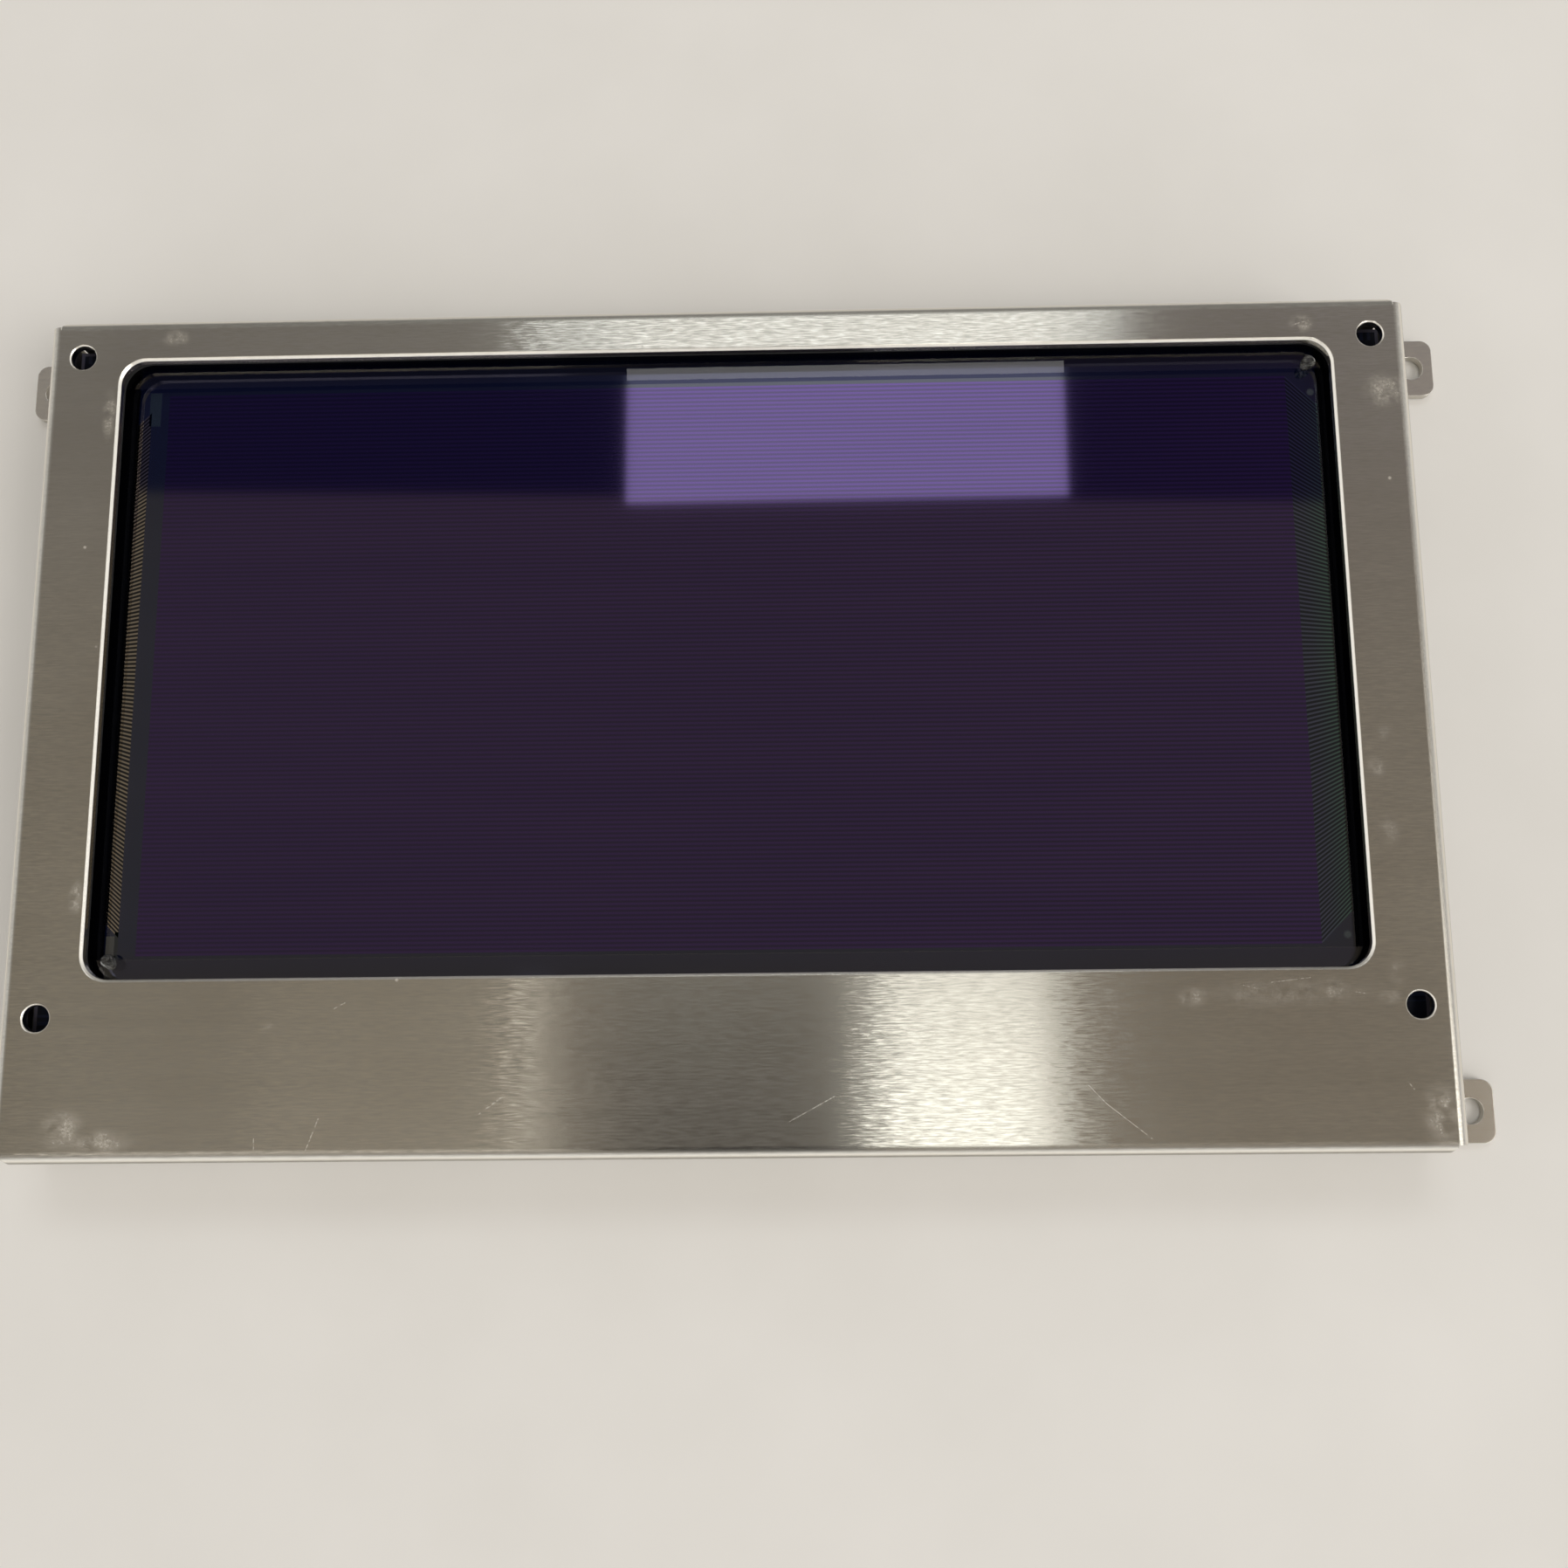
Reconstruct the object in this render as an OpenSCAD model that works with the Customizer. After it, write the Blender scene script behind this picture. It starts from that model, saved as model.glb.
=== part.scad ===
// Flat display module: a folded steel bezel with a glass panel and a driver board behind it.
// The module lies on its back. X runs along the long side, Y up the picture, Z out of the front face.
// The origin is at the middle of the outline, in the rear plane of the ears.

/* [Bezel] */
// Width of the bezel across its side walls
bezel_w = 232; // [226:1:250]
// Height of the bezel across its end walls
bezel_h = 142; // [138:1:160]
// Depth from the rear plane of the ears to the front face
bezel_depth = 18.5; // [18:0.5:26]
// Thickness of the steel sheet
sheet_t = 1.5; // [1:0.1:1.8]
// Inner radius of the folds
fold_r = 0.5; // [0.3:0.1:1]
// Height of the walls' free edges above the rear plane
wall_lift = 1; // [0.5:0.1:2]
// Distance from the end of a side wall to the outer face of the end wall
corner_gap = 1.25; // [0.8:0.05:2]
// Bevel at the ends of the end walls
end_bevel = 0.9; // [0.4:0.1:1.4]

/* [Window] */
// Width of the bezel's face beside the window
side_band = 13; // [12.5:0.5:18]
// Width of the bezel's face above the window
top_band = 7.65; // [7.4:0.05:12]
// Width of the bezel's face below the window
bottom_band = 28.85; // [28:0.05:36]
// Corner radius of the window
window_r = 4.2; // [2:0.1:8]
// Bevel left by deburring the window
edge_break = 0.4; // [0.1:0.05:0.5]
// Bevel left by deburring the front holes
hole_break = 0.2; // [0.1:0.05:0.3]

/* [Front holes] */
// Diameter of the holes in the front face
hole_d = 4.3; // [3:0.1:5]
// Distance from a hole to the side face of the bezel
hole_side = 6.2; // [6:0.1:7]
// Distance from the upper holes to the upper face of the bezel
hole_top = 6.9; // [6:0.1:9]
// Distance from the lower holes to the lower face of the bezel
hole_bottom = 22.8; // [15:0.1:26]

/* [Ears] */
// Reach of an ear past the side face
ear_reach = 11; // [10:0.5:16]
// Width of an ear along Y
ear_w = 10.4; // [8:0.2:16]
// Distance from the ears to the line of the end walls
ear_inset = 0.3; // [0:0.1:2]
// Corner radius of the ears
ear_r = 2; // [1:0.1:4]
// Diameter of the ear holes
ear_hole_d = 4.3; // [3:0.1:5]
// Distance from an ear hole to the side face
ear_hole_reach = 7.1; // [6:0.1:8]
// Width of the slit beside each ear
slit_w = 1; // [0.6:0.1:2]
// Height of the wall's wide foot above an ear
foot_h = 4; // [2:0.5:8]

/* [Panel] */
// Lap of the front glass behind the bezel's side bands
glass_lap_side = 3.5; // [2.5:0.1:4]
// Lap of the front glass behind the bezel's upper and lower bands
glass_lap_end = 3.25; // [2.5:0.05:4]
// Thickness of the front glass
glass_t = 1.6; // [1.1:0.1:2]
// Corner cut of the front glass
glass_cut = 1; // [0.5:0.1:2]
// Depth of the glass behind the front face
glass_back = 3.2; // [2.6:0.1:4]
// Setback of the gasket from the window and the glass edge
gasket_setback = 0.6; // [0.2:0.1:0.8]
// Thickness of the electrode film
film_t = 0.2; // [0.1:0.05:0.3]
// Bare margin of the glass round the electrode film
film_margin = 0.5; // [0.2:0.1:1]
// Contact margin of the front glass past the cover glass
contact_margin = 4.2; // [3.6:0.1:5]
// Thickness of the seal between the two glasses
seal_t = 0.5; // [0.3:0.1:0.8]
// Width of the seal
seal_w = 3; // [2:0.1:4]
// Setback of the seal from the edge of the cover glass
seal_setback = 0.4; // [0.2:0.1:1]
// Thickness of the cover glass
cover_t = 1.1; // [0.7:0.1:1.6]
// Diameter of the fill hole in the cover glass
fill_d = 1.5; // [1:0.1:2.5]
// Distance from the fill hole to the edges of the cover glass
fill_inset = 9; // [7:0.5:15]
// Diameter of the fill plug's head
plug_d = 4; // [3.5:0.1:6]
// Thickness of the fill plug's head
plug_t = 0.5; // [0.3:0.1:0.7]
// Distance from an adhesive dab to the window's edges
dab_inset = 2.6; // [2.2:0.1:4]
// Radius of a dab's main drop
dab_r = 1.1; // [0.9:0.1:1.4]
// Radius of a dab's smaller drops
drop_r = 0.8; // [0.5:0.1:1]

/* [Contacts and pads] */
// Width of a contact strip
strip_w = 2; // [1.4:0.1:2.4]
// Distance from a contact strip to the edge of the front glass
strip_inset = 1.1; // [0.8:0.1:1.6]
// Distance from the ends of the contact strips to the corners of the front glass
strip_end = 9; // [6:0.5:20]
// Thickness of the foam pads
pad_t = 0.9; // [0.8:0.1:1.5]
// Distance from the foam pads to the upper and lower edges of the cover glass
pad_inset = 12; // [10:0.5:30]
// Width of a foam pad
pad_w = 12; // [6:0.5:16]
// Distance between the foam pads
pad_pitch = 58; // [40:1:64]

/* [Driver board] */
// Gap between the board and the side walls
board_gap_side = 0.5; // [0.3:0.1:3]
// Gap between the board and the end walls
board_gap_end = 1; // [0.3:0.1:3]
// Thickness of the board
board_t = 1.6; // [1.2:0.1:2]
// Width of a standoff across its flats
standoff_af = 5; // [4.5:0.1:5.5]
// Distance from the side standoffs to the side face of the bezel
standoff_side = 5.2; // [5:0.1:5.4]
// Height of the upper standoffs above the middle of the bezel
standoff_upper = 38; // [20:1:50]
// Distance of the middle standoffs below the middle of the bezel
standoff_middle = 18; // [5:1:38]
// Distance from the lower standoffs to the lower face of the bezel
standoff_bottom = 10; // [7:0.5:12]
// Thread diameter of the screws
screw_d = 3; // [2.5:0.1:3]
// Clearance of the screws in the board
screw_clear = 0.2; // [0.1:0.05:0.4]
// Gap round a screw's shank and at its tip in the bore of its standoff
thread_gap = 0.05; // [0.02:0.01:0.1]
// Length of the screws under the head
screw_len = 6; // [4:0.5:7]
// Diameter of the screw heads
head_d = 5.6; // [5:0.1:6]
// Height of the screw heads
head_h = 2; // [1.6:0.1:2.4]
// Bevel round the top of the screw heads
head_bevel = 0.6; // [0.2:0.1:0.8]
// Length of the cross recess in the screw heads
recess_l = 3.4; // [2.4:0.1:3.8]
// Width of the recess's arms
recess_w = 1; // [0.6:0.1:1.2]
// Depth of the recess
recess_depth = 1.2; // [0.6:0.1:1.4]

/* [Chips] */
// Long side of a driver chip
driver_l = 20; // [14:0.5:22]
// Short side of a driver chip
driver_w = 14; // [10:0.5:16]
// Height of a driver chip above the board
driver_h = 2.7; // [1.8:0.1:3.5]
// Side of the controller chip
controller_l = 28; // [20:0.5:32]
// Height of the controller chip above the board
controller_h = 3.4; // [2:0.1:4]
// Bevel at the marked corner of a chip
chip_bevel = 1.2; // [0.6:0.1:2]
// Pitch of the chip leads
lead_pitch = 1.27; // [1:0.01:1.6]
// Width of a chip lead
lead_w = 0.5; // [0.3:0.05:0.7]
// Reach of the leads past a chip's body
lead_reach = 1.6; // [1.4:0.1:2]
// Thickness of the leads
lead_t = 0.25; // [0.15:0.05:0.3]
// Height above the board at which the leads leave a chip's body
lead_rise = 1.2; // [0.8:0.1:1.4]
// Distance from a chip's body to the upper bend of its leads
lead_knee = 0.4; // [0.2:0.05:0.6]
// Slant of a lead from its upper bend to its foot
lead_slant = 0.25; // [0.1:0.05:0.4]
// Gap between a chip's body and the board
chip_gap = 0.2; // [0.05:0.05:0.4]
// Distance from the row drivers to the side edge of the board
row_inset = 16; // [15:0.5:20]
// Distance between the row drivers of one side
row_pitch = 40; // [30:1:56]
// Distance between neighbouring column drivers
column_pitch = 44; // [38:0.5:46]
// Distance from the column drivers to the upper and lower edges of the front glass
column_inset = 17; // [12:0.5:20]

/* [Power parts] */
// Distance from the power parts to the lower edge of the board
power_inset = 14.5; // [13:0.5:17]
// Gap between the transformer and the left edge of the board
transformer_margin = 20; // [10:0.5:22]
// Gap between the transformer and the lower screw beside it
transformer_gap = 5.2; // [1:0.1:6]
// Gap between that screw and the choke
choke_gap = 7.2; // [2:0.1:9]
// Gap between the choke and the power transistors
transistor_gap = 10.7; // [2:0.1:12]
// Gap between the power transistors and the smoothing capacitors
can_gap = 6.55; // [2:0.05:10]
// Side of the transformer core
core_l = 20; // [18:0.5:22]
// Thickness of the transformer core
core_t = 4; // [3:0.1:5]
// Width of the core's middle leg
leg_w = 6; // [5:0.1:7]
// Width of each slot in the core
slot_w = 4; // [3.5:0.1:4.5]
// Length of each slot in the core
slot_l = 13; // [12:0.5:14]
// Thickness of the bobbin's base plate
bobbin_t = 0.4; // [0.3:0.1:1]
// Gap between a winding and its core
winding_gap = 0.3; // [0.2:0.05:0.5]
// Thickness of the winding round the middle leg
winding_t = 1.3; // [1:0.1:1.4]
// Diameter of the choke's flanges
choke_d = 12; // [9:0.5:14]
// Height of the choke
choke_h = 7.5; // [5:0.1:8]
// Thickness of the choke's flanges
flange_t = 1.2; // [0.8:0.1:1.6]
// Diameter of the choke's post
post_d = 5; // [4:0.1:6]
// Setback of the choke's winding from the edge of the flanges
winding_setback = 0.6; // [0.2:0.1:0.8]
// Gap between neighbouring smoothing capacitors
can_space = 3.7; // [2:0.1:5]
// Diameter of a smoothing capacitor's can
can_d = 8; // [6:0.1:9]
// Height of a smoothing capacitor
can_h = 6.8; // [5:0.1:8]
// Thickness of a capacitor's base
can_base_t = 1; // [0.8:0.1:1.4]
// Overhang of the base past the can
can_base_over = 0.15; // [0.1:0.05:0.4]
// Depth of the crimp at the foot of the can, and of its top bevel
crimp = 0.5; // [0.3:0.1:0.8]
// Gap between neighbouring power transistors
transistor_space = 3.4; // [1.5:0.1:4]
// Width of a transistor's body
transistor_w = 6.6; // [5:0.1:7]
// Length of a transistor's body
transistor_l = 6.1; // [5:0.1:7]
// Height of a transistor above the board
transistor_h = 2.3; // [1.6:0.1:3]
// Width of a transistor's metal tab
tab_w = 5.3; // [3:0.1:5.6]
// Reach of the tab past the body
tab_reach = 1.1; // [0.5:0.1:2]
// Thickness of the tab and the legs
tab_t = 0.5; // [0.3:0.1:0.8]
// Distance between a transistor's two legs
foot_pitch = 4.6; // [3:0.1:4.8]
// Width of a leg
foot_w = 0.8; // [0.5:0.1:1.2]
// Reach of the legs past the body
foot_reach = 2.6; // [1:0.1:3]
// Length of a chip capacitor
ceramic_l = 3.2; // [2:0.1:4]
// Width of a chip capacitor
ceramic_w = 1.6; // [1:0.1:2.5]
// Height of a chip capacitor
ceramic_h = 1.2; // [0.8:0.1:2]
// Distance between the chip capacitors
ceramic_pitch = 4; // [3:0.5:6]

/* [Header] */
// Gap between the header and the right edge of the board
header_margin = 11.3; // [4:0.1:14]
// Pins in each of the header's two rows
pin_count = 10; // [5:1:13]
// Pitch of the header's pins
pin_pitch = 2.54; // [2:0.01:2.54]
// Thickness of a pin
pin_w = 0.64; // [0.5:0.01:0.7]
// Length of a pin from the board
pin_len = 8.4; // [6:0.1:8.4]
// Height of the header's body
header_h = 2.5; // [2:0.1:4]
// Gap round a pin in the header's body
pin_gap = 0.03; // [0.02:0.01:0.1]

/* [Hidden] */
$fn = 64;
cut = 1;
bend_r = fold_r + sheet_t;
front_z = bezel_depth;
plate_z = front_z - sheet_t;
side_len = bezel_h - 2 * corner_gap;
end_len = bezel_w - 2 * bend_r;
window_w = bezel_w - 2 * side_band;
window_h = bezel_h - top_band - bottom_band;
window_up = (bottom_band - top_band) / 2;
ear_end = bezel_h / 2 - ear_inset;
ear_mid = ear_end - ear_w / 2;
ear_hole_x = bezel_w / 2 + ear_hole_reach;
hole_x = bezel_w / 2 - hole_side;
hole_rows = [bezel_h / 2 - hole_top, hole_bottom - bezel_h / 2];

glass_w = window_w + 2 * glass_lap_side;
glass_h = window_h + 2 * glass_lap_end;
glass_front = front_z - glass_back;
glass_rear = glass_front - glass_t;
film_rear = glass_rear - film_t;
seal_rear = film_rear - seal_t;
cover_rear = seal_rear - cover_t;
board_front = cover_rear - pad_t;
board_rear = board_front - board_t;
cover_w = glass_w - 2 * contact_margin;
cover_h = glass_h - 2 * contact_margin;
fill_x = cover_w / 2 - fill_inset;
fill_y = window_up + cover_h / 2 - fill_inset;
strip_x = glass_w / 2 - strip_inset - strip_w / 2;
strip_y = glass_h / 2 - strip_inset - strip_w / 2;
strip_len_side = glass_h - 2 * strip_end;
strip_len_end = glass_w - 2 * strip_end;
pad_len = cover_h - 2 * pad_inset;

board_w = bezel_w - 2 * (sheet_t + board_gap_side);
board_h = bezel_h - 2 * (sheet_t + board_gap_end);
transformer_x = transformer_margin + core_l / 2;
standoff_x = transformer_x + core_l / 2 + transformer_gap + head_d / 2;
choke_x = standoff_x + head_d / 2 + choke_gap + choke_d / 2;
transistor_x = choke_x + choke_d / 2 + transistor_gap + transistor_w / 2;
transistor_pitch = transistor_w + transistor_space;
can_w = can_d + 2 * can_base_over;
can_pitch = can_w + can_space;
can_x = transistor_x + 3 * transistor_pitch + transistor_w / 2 + can_gap + can_w / 2;
standoff_h = plate_z - board_front;
standoff_places = concat(
    both_sides(bezel_w / 2 - standoff_side, standoff_upper),
    both_sides(bezel_w / 2 - standoff_side, -standoff_middle),
    both_sides(board_w / 2 - standoff_x, standoff_bottom - bezel_h / 2)
);
bore_d = screw_d + 2 * thread_gap;
bore_h = screw_len - board_t + 2 * thread_gap;

chip_mid = [0, window_up];
row_x = board_w / 2 - row_inset;
row_places = [for (side = [-1, 1], step = [-1, 1]) chip_mid + [side * row_x, step * row_pitch / 2]];
column_y = glass_h / 2 - column_inset;
column_places = [
    for (step = [-1, 1], i = [-1.5:1.5]) chip_mid + [i * column_pitch, step * column_y]
];
ceramic_x = controller_l / 2 + lead_reach + ceramic_l;
ceramic_places = [
    for (step = [-1, 1], i = [-1:1], j = [-1:1])
        chip_mid + [i * column_pitch, step * column_y + j * ceramic_pitch],
    for (side = [-1, 1], j = [-1:1]) chip_mid + [side * ceramic_x, j * ceramic_pitch]
];
power_y = power_inset - board_h / 2;
board_left = [-board_w / 2, power_y];
transformer_place = board_left + [transformer_x, 0];
choke_place = board_left + [choke_x, 0];
transistor_places = [for (i = [0:3]) board_left + [transistor_x + i * transistor_pitch, 0]];
can_places = [for (i = [0:2]) board_left + [can_x + i * can_pitch, 0]];
header_w = pin_count * pin_pitch;
header_place = [board_w / 2 - header_margin - header_w / 2, power_y];
rail_h = bobbin_t + winding_t + winding_gap;

function both_sides(x, y) = [[-x, y], [x, y]];
function numbered(name, count) = [for (i = [1:count]) str(name, "_", i)];

// Upright block with rounded corners, centred on the Z axis
module round_block(w, h, r, t) {
    translate([-w / 2, r - h / 2, 0]) cube([w, h - 2 * r, t]);
    translate([r - w / 2, -h / 2, 0]) cube([w - 2 * r, h, t]);
    for (x = [-1, 1], y = [-1, 1])
        translate([x * (w / 2 - r), y * (h / 2 - r), 0]) cylinder(r = r, h = t);
}

// Trapezium that widens by its height on both sides, drawn out along Y
module flared_bar(w, len, flare) {
    rotate([90, 0, 0])
        linear_extrude(len, center = true)
            polygon([[-w / 2, 0], [w / 2, 0], [w / 2 + flare, flare], [-w / 2 - flare, flare]]);
}

// Rounded block that widens by its height all round
module flared_block(w, h, r, flare) {
    flared_bar(w, h - 2 * r, flare);
    rotate(90) flared_bar(h, w - 2 * r, flare);
    for (x = [-1, 1], y = [-1, 1])
        translate([x * (w / 2 - r), y * (h / 2 - r), 0]) cylinder(r1 = r, r2 = r + flare, h = flare);
}

// Quarter turn of the sheet along Y, from its +Z end to its +X end
module fold(len) {
    rotate([90, 0, 0])
        intersection() {
            difference() {
                cylinder(r = bend_r, h = len, center = true);
                cylinder(r = fold_r, h = len + cut, center = true);
            }
            translate([0, 0, -len / 2]) cube([bend_r, bend_r, len]);
        }
}

// One folded wall of the bezel, its outer face at X = half
module wall(half, len) {
    translate([half - bend_r, 0, front_z - bend_r]) fold(len);
    translate([half - sheet_t, -len / 2, wall_lift]) cube([sheet_t, len, front_z - bend_r - wall_lift]);
}

// End wall with bevelled ends, its outer face at Y = bezel_h / 2
module end_wall() {
    notch = end_bevel * sqrt(2);
    difference() {
        rotate(90) wall(bezel_h / 2, end_len);
        for (side = [-1, 1])
            translate([side * end_len / 2, bezel_h / 2, 0])
                rotate(45) cube([notch, notch, 2 * front_z + cut], center = true);
    }
}

// Ear at the +X +Y corner, with its fold and the wide foot of the wall over it
module ear() {
    x0 = bezel_w / 2 + fold_r;
    x1 = bezel_w / 2 + ear_reach;
    translate([bezel_w / 2 - sheet_t, ear_end - ear_w, bend_r]) cube([sheet_t, ear_w, foot_h]);
    translate([x0, ear_mid, bend_r]) rotate([0, 180, 0]) fold(ear_w);
    translate([x0, ear_end - ear_w, 0]) cube([x1 - ear_r - x0, ear_w, sheet_t]);
    translate([x0, ear_end - ear_w + ear_r, 0]) cube([x1 - x0, ear_w - 2 * ear_r, sheet_t]);
    for (y = [ear_end - ear_r, ear_end - ear_w + ear_r])
        translate([x1 - ear_r, y, 0]) cylinder(r = ear_r, h = sheet_t);
}

// Room under the side wall where an ear folds out, and the slit beside it
module ear_room() {
    translate([bezel_w / 2 - sheet_t - cut, ear_end - ear_w - slit_w, 0]) {
        cube([sheet_t + 2 * cut, ear_w + slit_w + cut, bend_r]);
        cube([sheet_t + 2 * cut, slit_w, bend_r + slit_w]);
    }
}

// One of its children at each of the four corners
module at_corners() {
    for (x = [0, 1], y = [0, 1]) mirror([x, 0, 0]) mirror([0, y, 0]) children();
}

// Round hole through the front face with a deburred edge
module front_hole() {
    translate([0, 0, plate_z - cut]) cylinder(d = hole_d, h = sheet_t + 2 * cut);
    translate([0, 0, front_z - hole_break])
        cylinder(r1 = hole_d / 2, r2 = hole_d / 2 + 2 * hole_break, h = 2 * hole_break);
}

// The window with its deburred edge
module window_cut() {
    translate([0, window_up, plate_z - cut]) round_block(window_w, window_h, window_r, sheet_t + 2 * cut);
    translate([0, window_up, front_z - edge_break]) flared_block(window_w, window_h, window_r, 2 * edge_break);
}

module bezel() {
    color("#8b8475") difference() {
        union() {
            translate([-end_len / 2, bend_r - bezel_h / 2, plate_z])
                cube([end_len, bezel_h - 2 * bend_r, sheet_t]);
            for (side = [0, 1]) mirror([0, side, 0]) end_wall();
            difference() {
                for (side = [0, 1]) mirror([side, 0, 0]) wall(bezel_w / 2, side_len);
                at_corners() ear_room();
            }
            at_corners() ear();
        }
        window_cut();
        for (x = [-hole_x, hole_x], y = hole_rows) translate([x, y, 0]) front_hole();
        at_corners() translate([ear_hole_x, ear_mid, -cut]) cylinder(d = ear_hole_d, h = sheet_t + 2 * cut);
    }
}

module window_gasket() {
    outer_w = glass_w - 2 * gasket_setback;
    outer_h = glass_h - 2 * gasket_setback;
    inner_w = window_w + 2 * gasket_setback;
    inner_h = window_h + 2 * gasket_setback;
    color("#141414") translate([0, window_up, glass_front]) difference() {
        translate([-outer_w / 2, -outer_h / 2, 0]) cube([outer_w, outer_h, plate_z - glass_front]);
        translate([0, 0, -cut]) round_block(inner_w, inner_h, window_r + gasket_setback, glass_back + cut);
    }
}

module front_glass() {
    x = glass_w / 2;
    y = glass_h / 2;
    c = glass_cut;
    color("#2b2633") translate([0, window_up, glass_rear])
        linear_extrude(glass_t)
            polygon([
                [x - c, y], [c - x, y], [-x, y - c], [-x, c - y],
                [c - x, -y], [x - c, -y], [x, c - y], [x, y - c]
            ]);
}

module electrode_film() {
    w = glass_w - 2 * film_margin - glass_cut;
    h = glass_h - 2 * film_margin - glass_cut;
    color("#2b1f38") translate([-w / 2, window_up - h / 2, film_rear]) cube([w, h, film_t]);
}

module panel_seal() {
    outer_w = cover_w - 2 * seal_setback;
    outer_h = cover_h - 2 * seal_setback;
    color("#9a9078") translate([0, window_up, seal_rear]) difference() {
        translate([-outer_w / 2, -outer_h / 2, 0]) cube([outer_w, outer_h, seal_t]);
        translate([seal_w - outer_w / 2, seal_w - outer_h / 2, -cut])
            cube([outer_w - 2 * seal_w, outer_h - 2 * seal_w, seal_t + 2 * cut]);
    }
}

module cover_glass() {
    color("#3c4650") difference() {
        translate([-cover_w / 2, window_up - cover_h / 2, cover_rear]) cube([cover_w, cover_h, cover_t]);
        translate([fill_x, fill_y, cover_rear - cut]) cylinder(d = fill_d, h = cover_t + 2 * cut);
    }
}

module fill_plug() {
    color("#c9c3b2") translate([fill_x, fill_y, cover_rear]) {
        translate([0, 0, -plug_t]) cylinder(d = plug_d, h = plug_t);
        cylinder(d = fill_d, h = cover_t);
    }
}

// Dab of clear adhesive: three run-together drops on the glass
module adhesive_dab(side) {
    x = side * (window_w / 2 - dab_inset);
    y = window_up + side * (window_h / 2 - dab_inset);
    room = 2 * (dab_r + drop_r);
    color("#d9d9d4") translate([x, y, glass_front]) intersection() {
        union() {
            sphere(r = dab_r);
            translate([-side * dab_r, dab_r / 2, 0]) sphere(r = drop_r);
            translate([side * dab_r / 3, -side * dab_r, 0]) sphere(r = drop_r);
        }
        translate([-room, -room, 0]) cube([2 * room, 2 * room, room]);
    }
}

// Elastomer strip from the leads on the glass to the board
module contact_strip(x, y, w, len) {
    color("#3a3a3e") translate([x - w / 2, window_up + y - len / 2, board_front])
        cube([w, len, film_rear - board_front]);
}

module foam_pad(i) {
    color("#202022") translate([(i - 1) * pad_pitch - pad_w / 2, window_up - pad_len / 2, board_front])
        cube([pad_w, pad_len, pad_t]);
}

module driver_board() {
    color("#1f2438") difference() {
        translate([-board_w / 2, -board_h / 2, board_rear]) cube([board_w, board_h, board_t]);
        for (place = standoff_places)
            translate([place[0], place[1], board_rear - cut])
                cylinder(d = screw_d + 2 * screw_clear, h = board_t + 2 * cut);
    }
}

// Hexagonal standoffs from the bezel to the board, each with a blind bore
module board_standoffs() {
    color("#b8b9bb") for (place = standoff_places) translate([place[0], place[1], board_front]) difference() {
        cylinder(d = standoff_af / cos(30), h = standoff_h, $fn = 6);
        translate([0, 0, -cut]) cylinder(d = bore_d, h = bore_h + cut);
    }
}

// Pan-head screw, its head under the board, with a cross recess
module board_screw() {
    difference() {
        union() {
            translate([0, 0, -head_h]) cylinder(r1 = head_d / 2 - head_bevel, r2 = head_d / 2, h = head_bevel);
            translate([0, 0, head_bevel - head_h]) cylinder(d = head_d, h = head_h - head_bevel);
            cylinder(d = screw_d, h = screw_len);
        }
        for (turn = [0, 90])
            rotate(turn)
                translate([-recess_l / 2, -recess_w / 2, -head_h - cut])
                    cube([recess_l, recess_w, cut + recess_depth]);
    }
}

module board_screws() {
    color("#c4c2bb") for (place = standoff_places) translate([place[0], place[1], board_rear]) board_screw();
}

// Place on the rear face of the board, with +Z pointing away from it
module on_board(place) {
    translate([place[0], place[1], board_rear]) mirror([0, 0, 1]) children();
}

// Row of bent leads along a chip's side, from its side face at X = 0 out to their feet on the board
module lead_row(len) {
    foot = lead_knee + lead_slant;
    top = lead_rise + lead_t;
    n = floor((len - 2 * chip_bevel) / lead_pitch / 2);
    for (i = [-n:n])
        translate([0, i * lead_pitch, 0])
            rotate([90, 0, 0])
                linear_extrude(lead_w, center = true)
                    polygon([
                        [-lead_t, lead_rise], [lead_knee, lead_rise], [foot, 0], [lead_reach, 0],
                        [lead_reach, lead_t], [foot + lead_t, lead_t], [lead_knee + lead_t, top], [-lead_t, top]
                    ]);
}

// Chip body with one bevelled corner, standing on bent leads along all four sides
module chip(w, h, height) {
    x = w / 2;
    y = h / 2;
    c = chip_bevel;
    translate([0, 0, chip_gap])
        linear_extrude(height - chip_gap) polygon([[x, y], [c - x, y], [-x, y - c], [-x, -y], [x, -y]]);
    for (turn = [0, 180]) {
        rotate(turn) translate([x, 0, 0]) lead_row(h);
        rotate(turn + 90) translate([y, 0, 0]) lead_row(w);
    }
}

module row_driver(i) {
    color("#1c1c1e") on_board(row_places[i]) chip(driver_w, driver_l, driver_h);
}

module column_driver(i) {
    color("#1c1c1e") on_board(column_places[i]) chip(driver_l, driver_w, driver_h);
}

module controller_chip() {
    color("#1c1c1e") on_board(chip_mid) chip(controller_l, controller_l, controller_h);
}

// Base plate and two rails that carry the core
module transformer_bobbin() {
    base_w = leg_w + 2 * slot_w;
    rail_w = (core_l - slot_l) / 2;
    color("#2a2a2a") on_board(transformer_place) {
        translate([-base_w / 2, -core_l / 2, 0]) cube([base_w, core_l, bobbin_t]);
        for (side = [0, 1])
            mirror([0, side, 0]) translate([-core_l / 2, slot_l / 2, 0]) cube([core_l, rail_w, rail_h]);
    }
}

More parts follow.
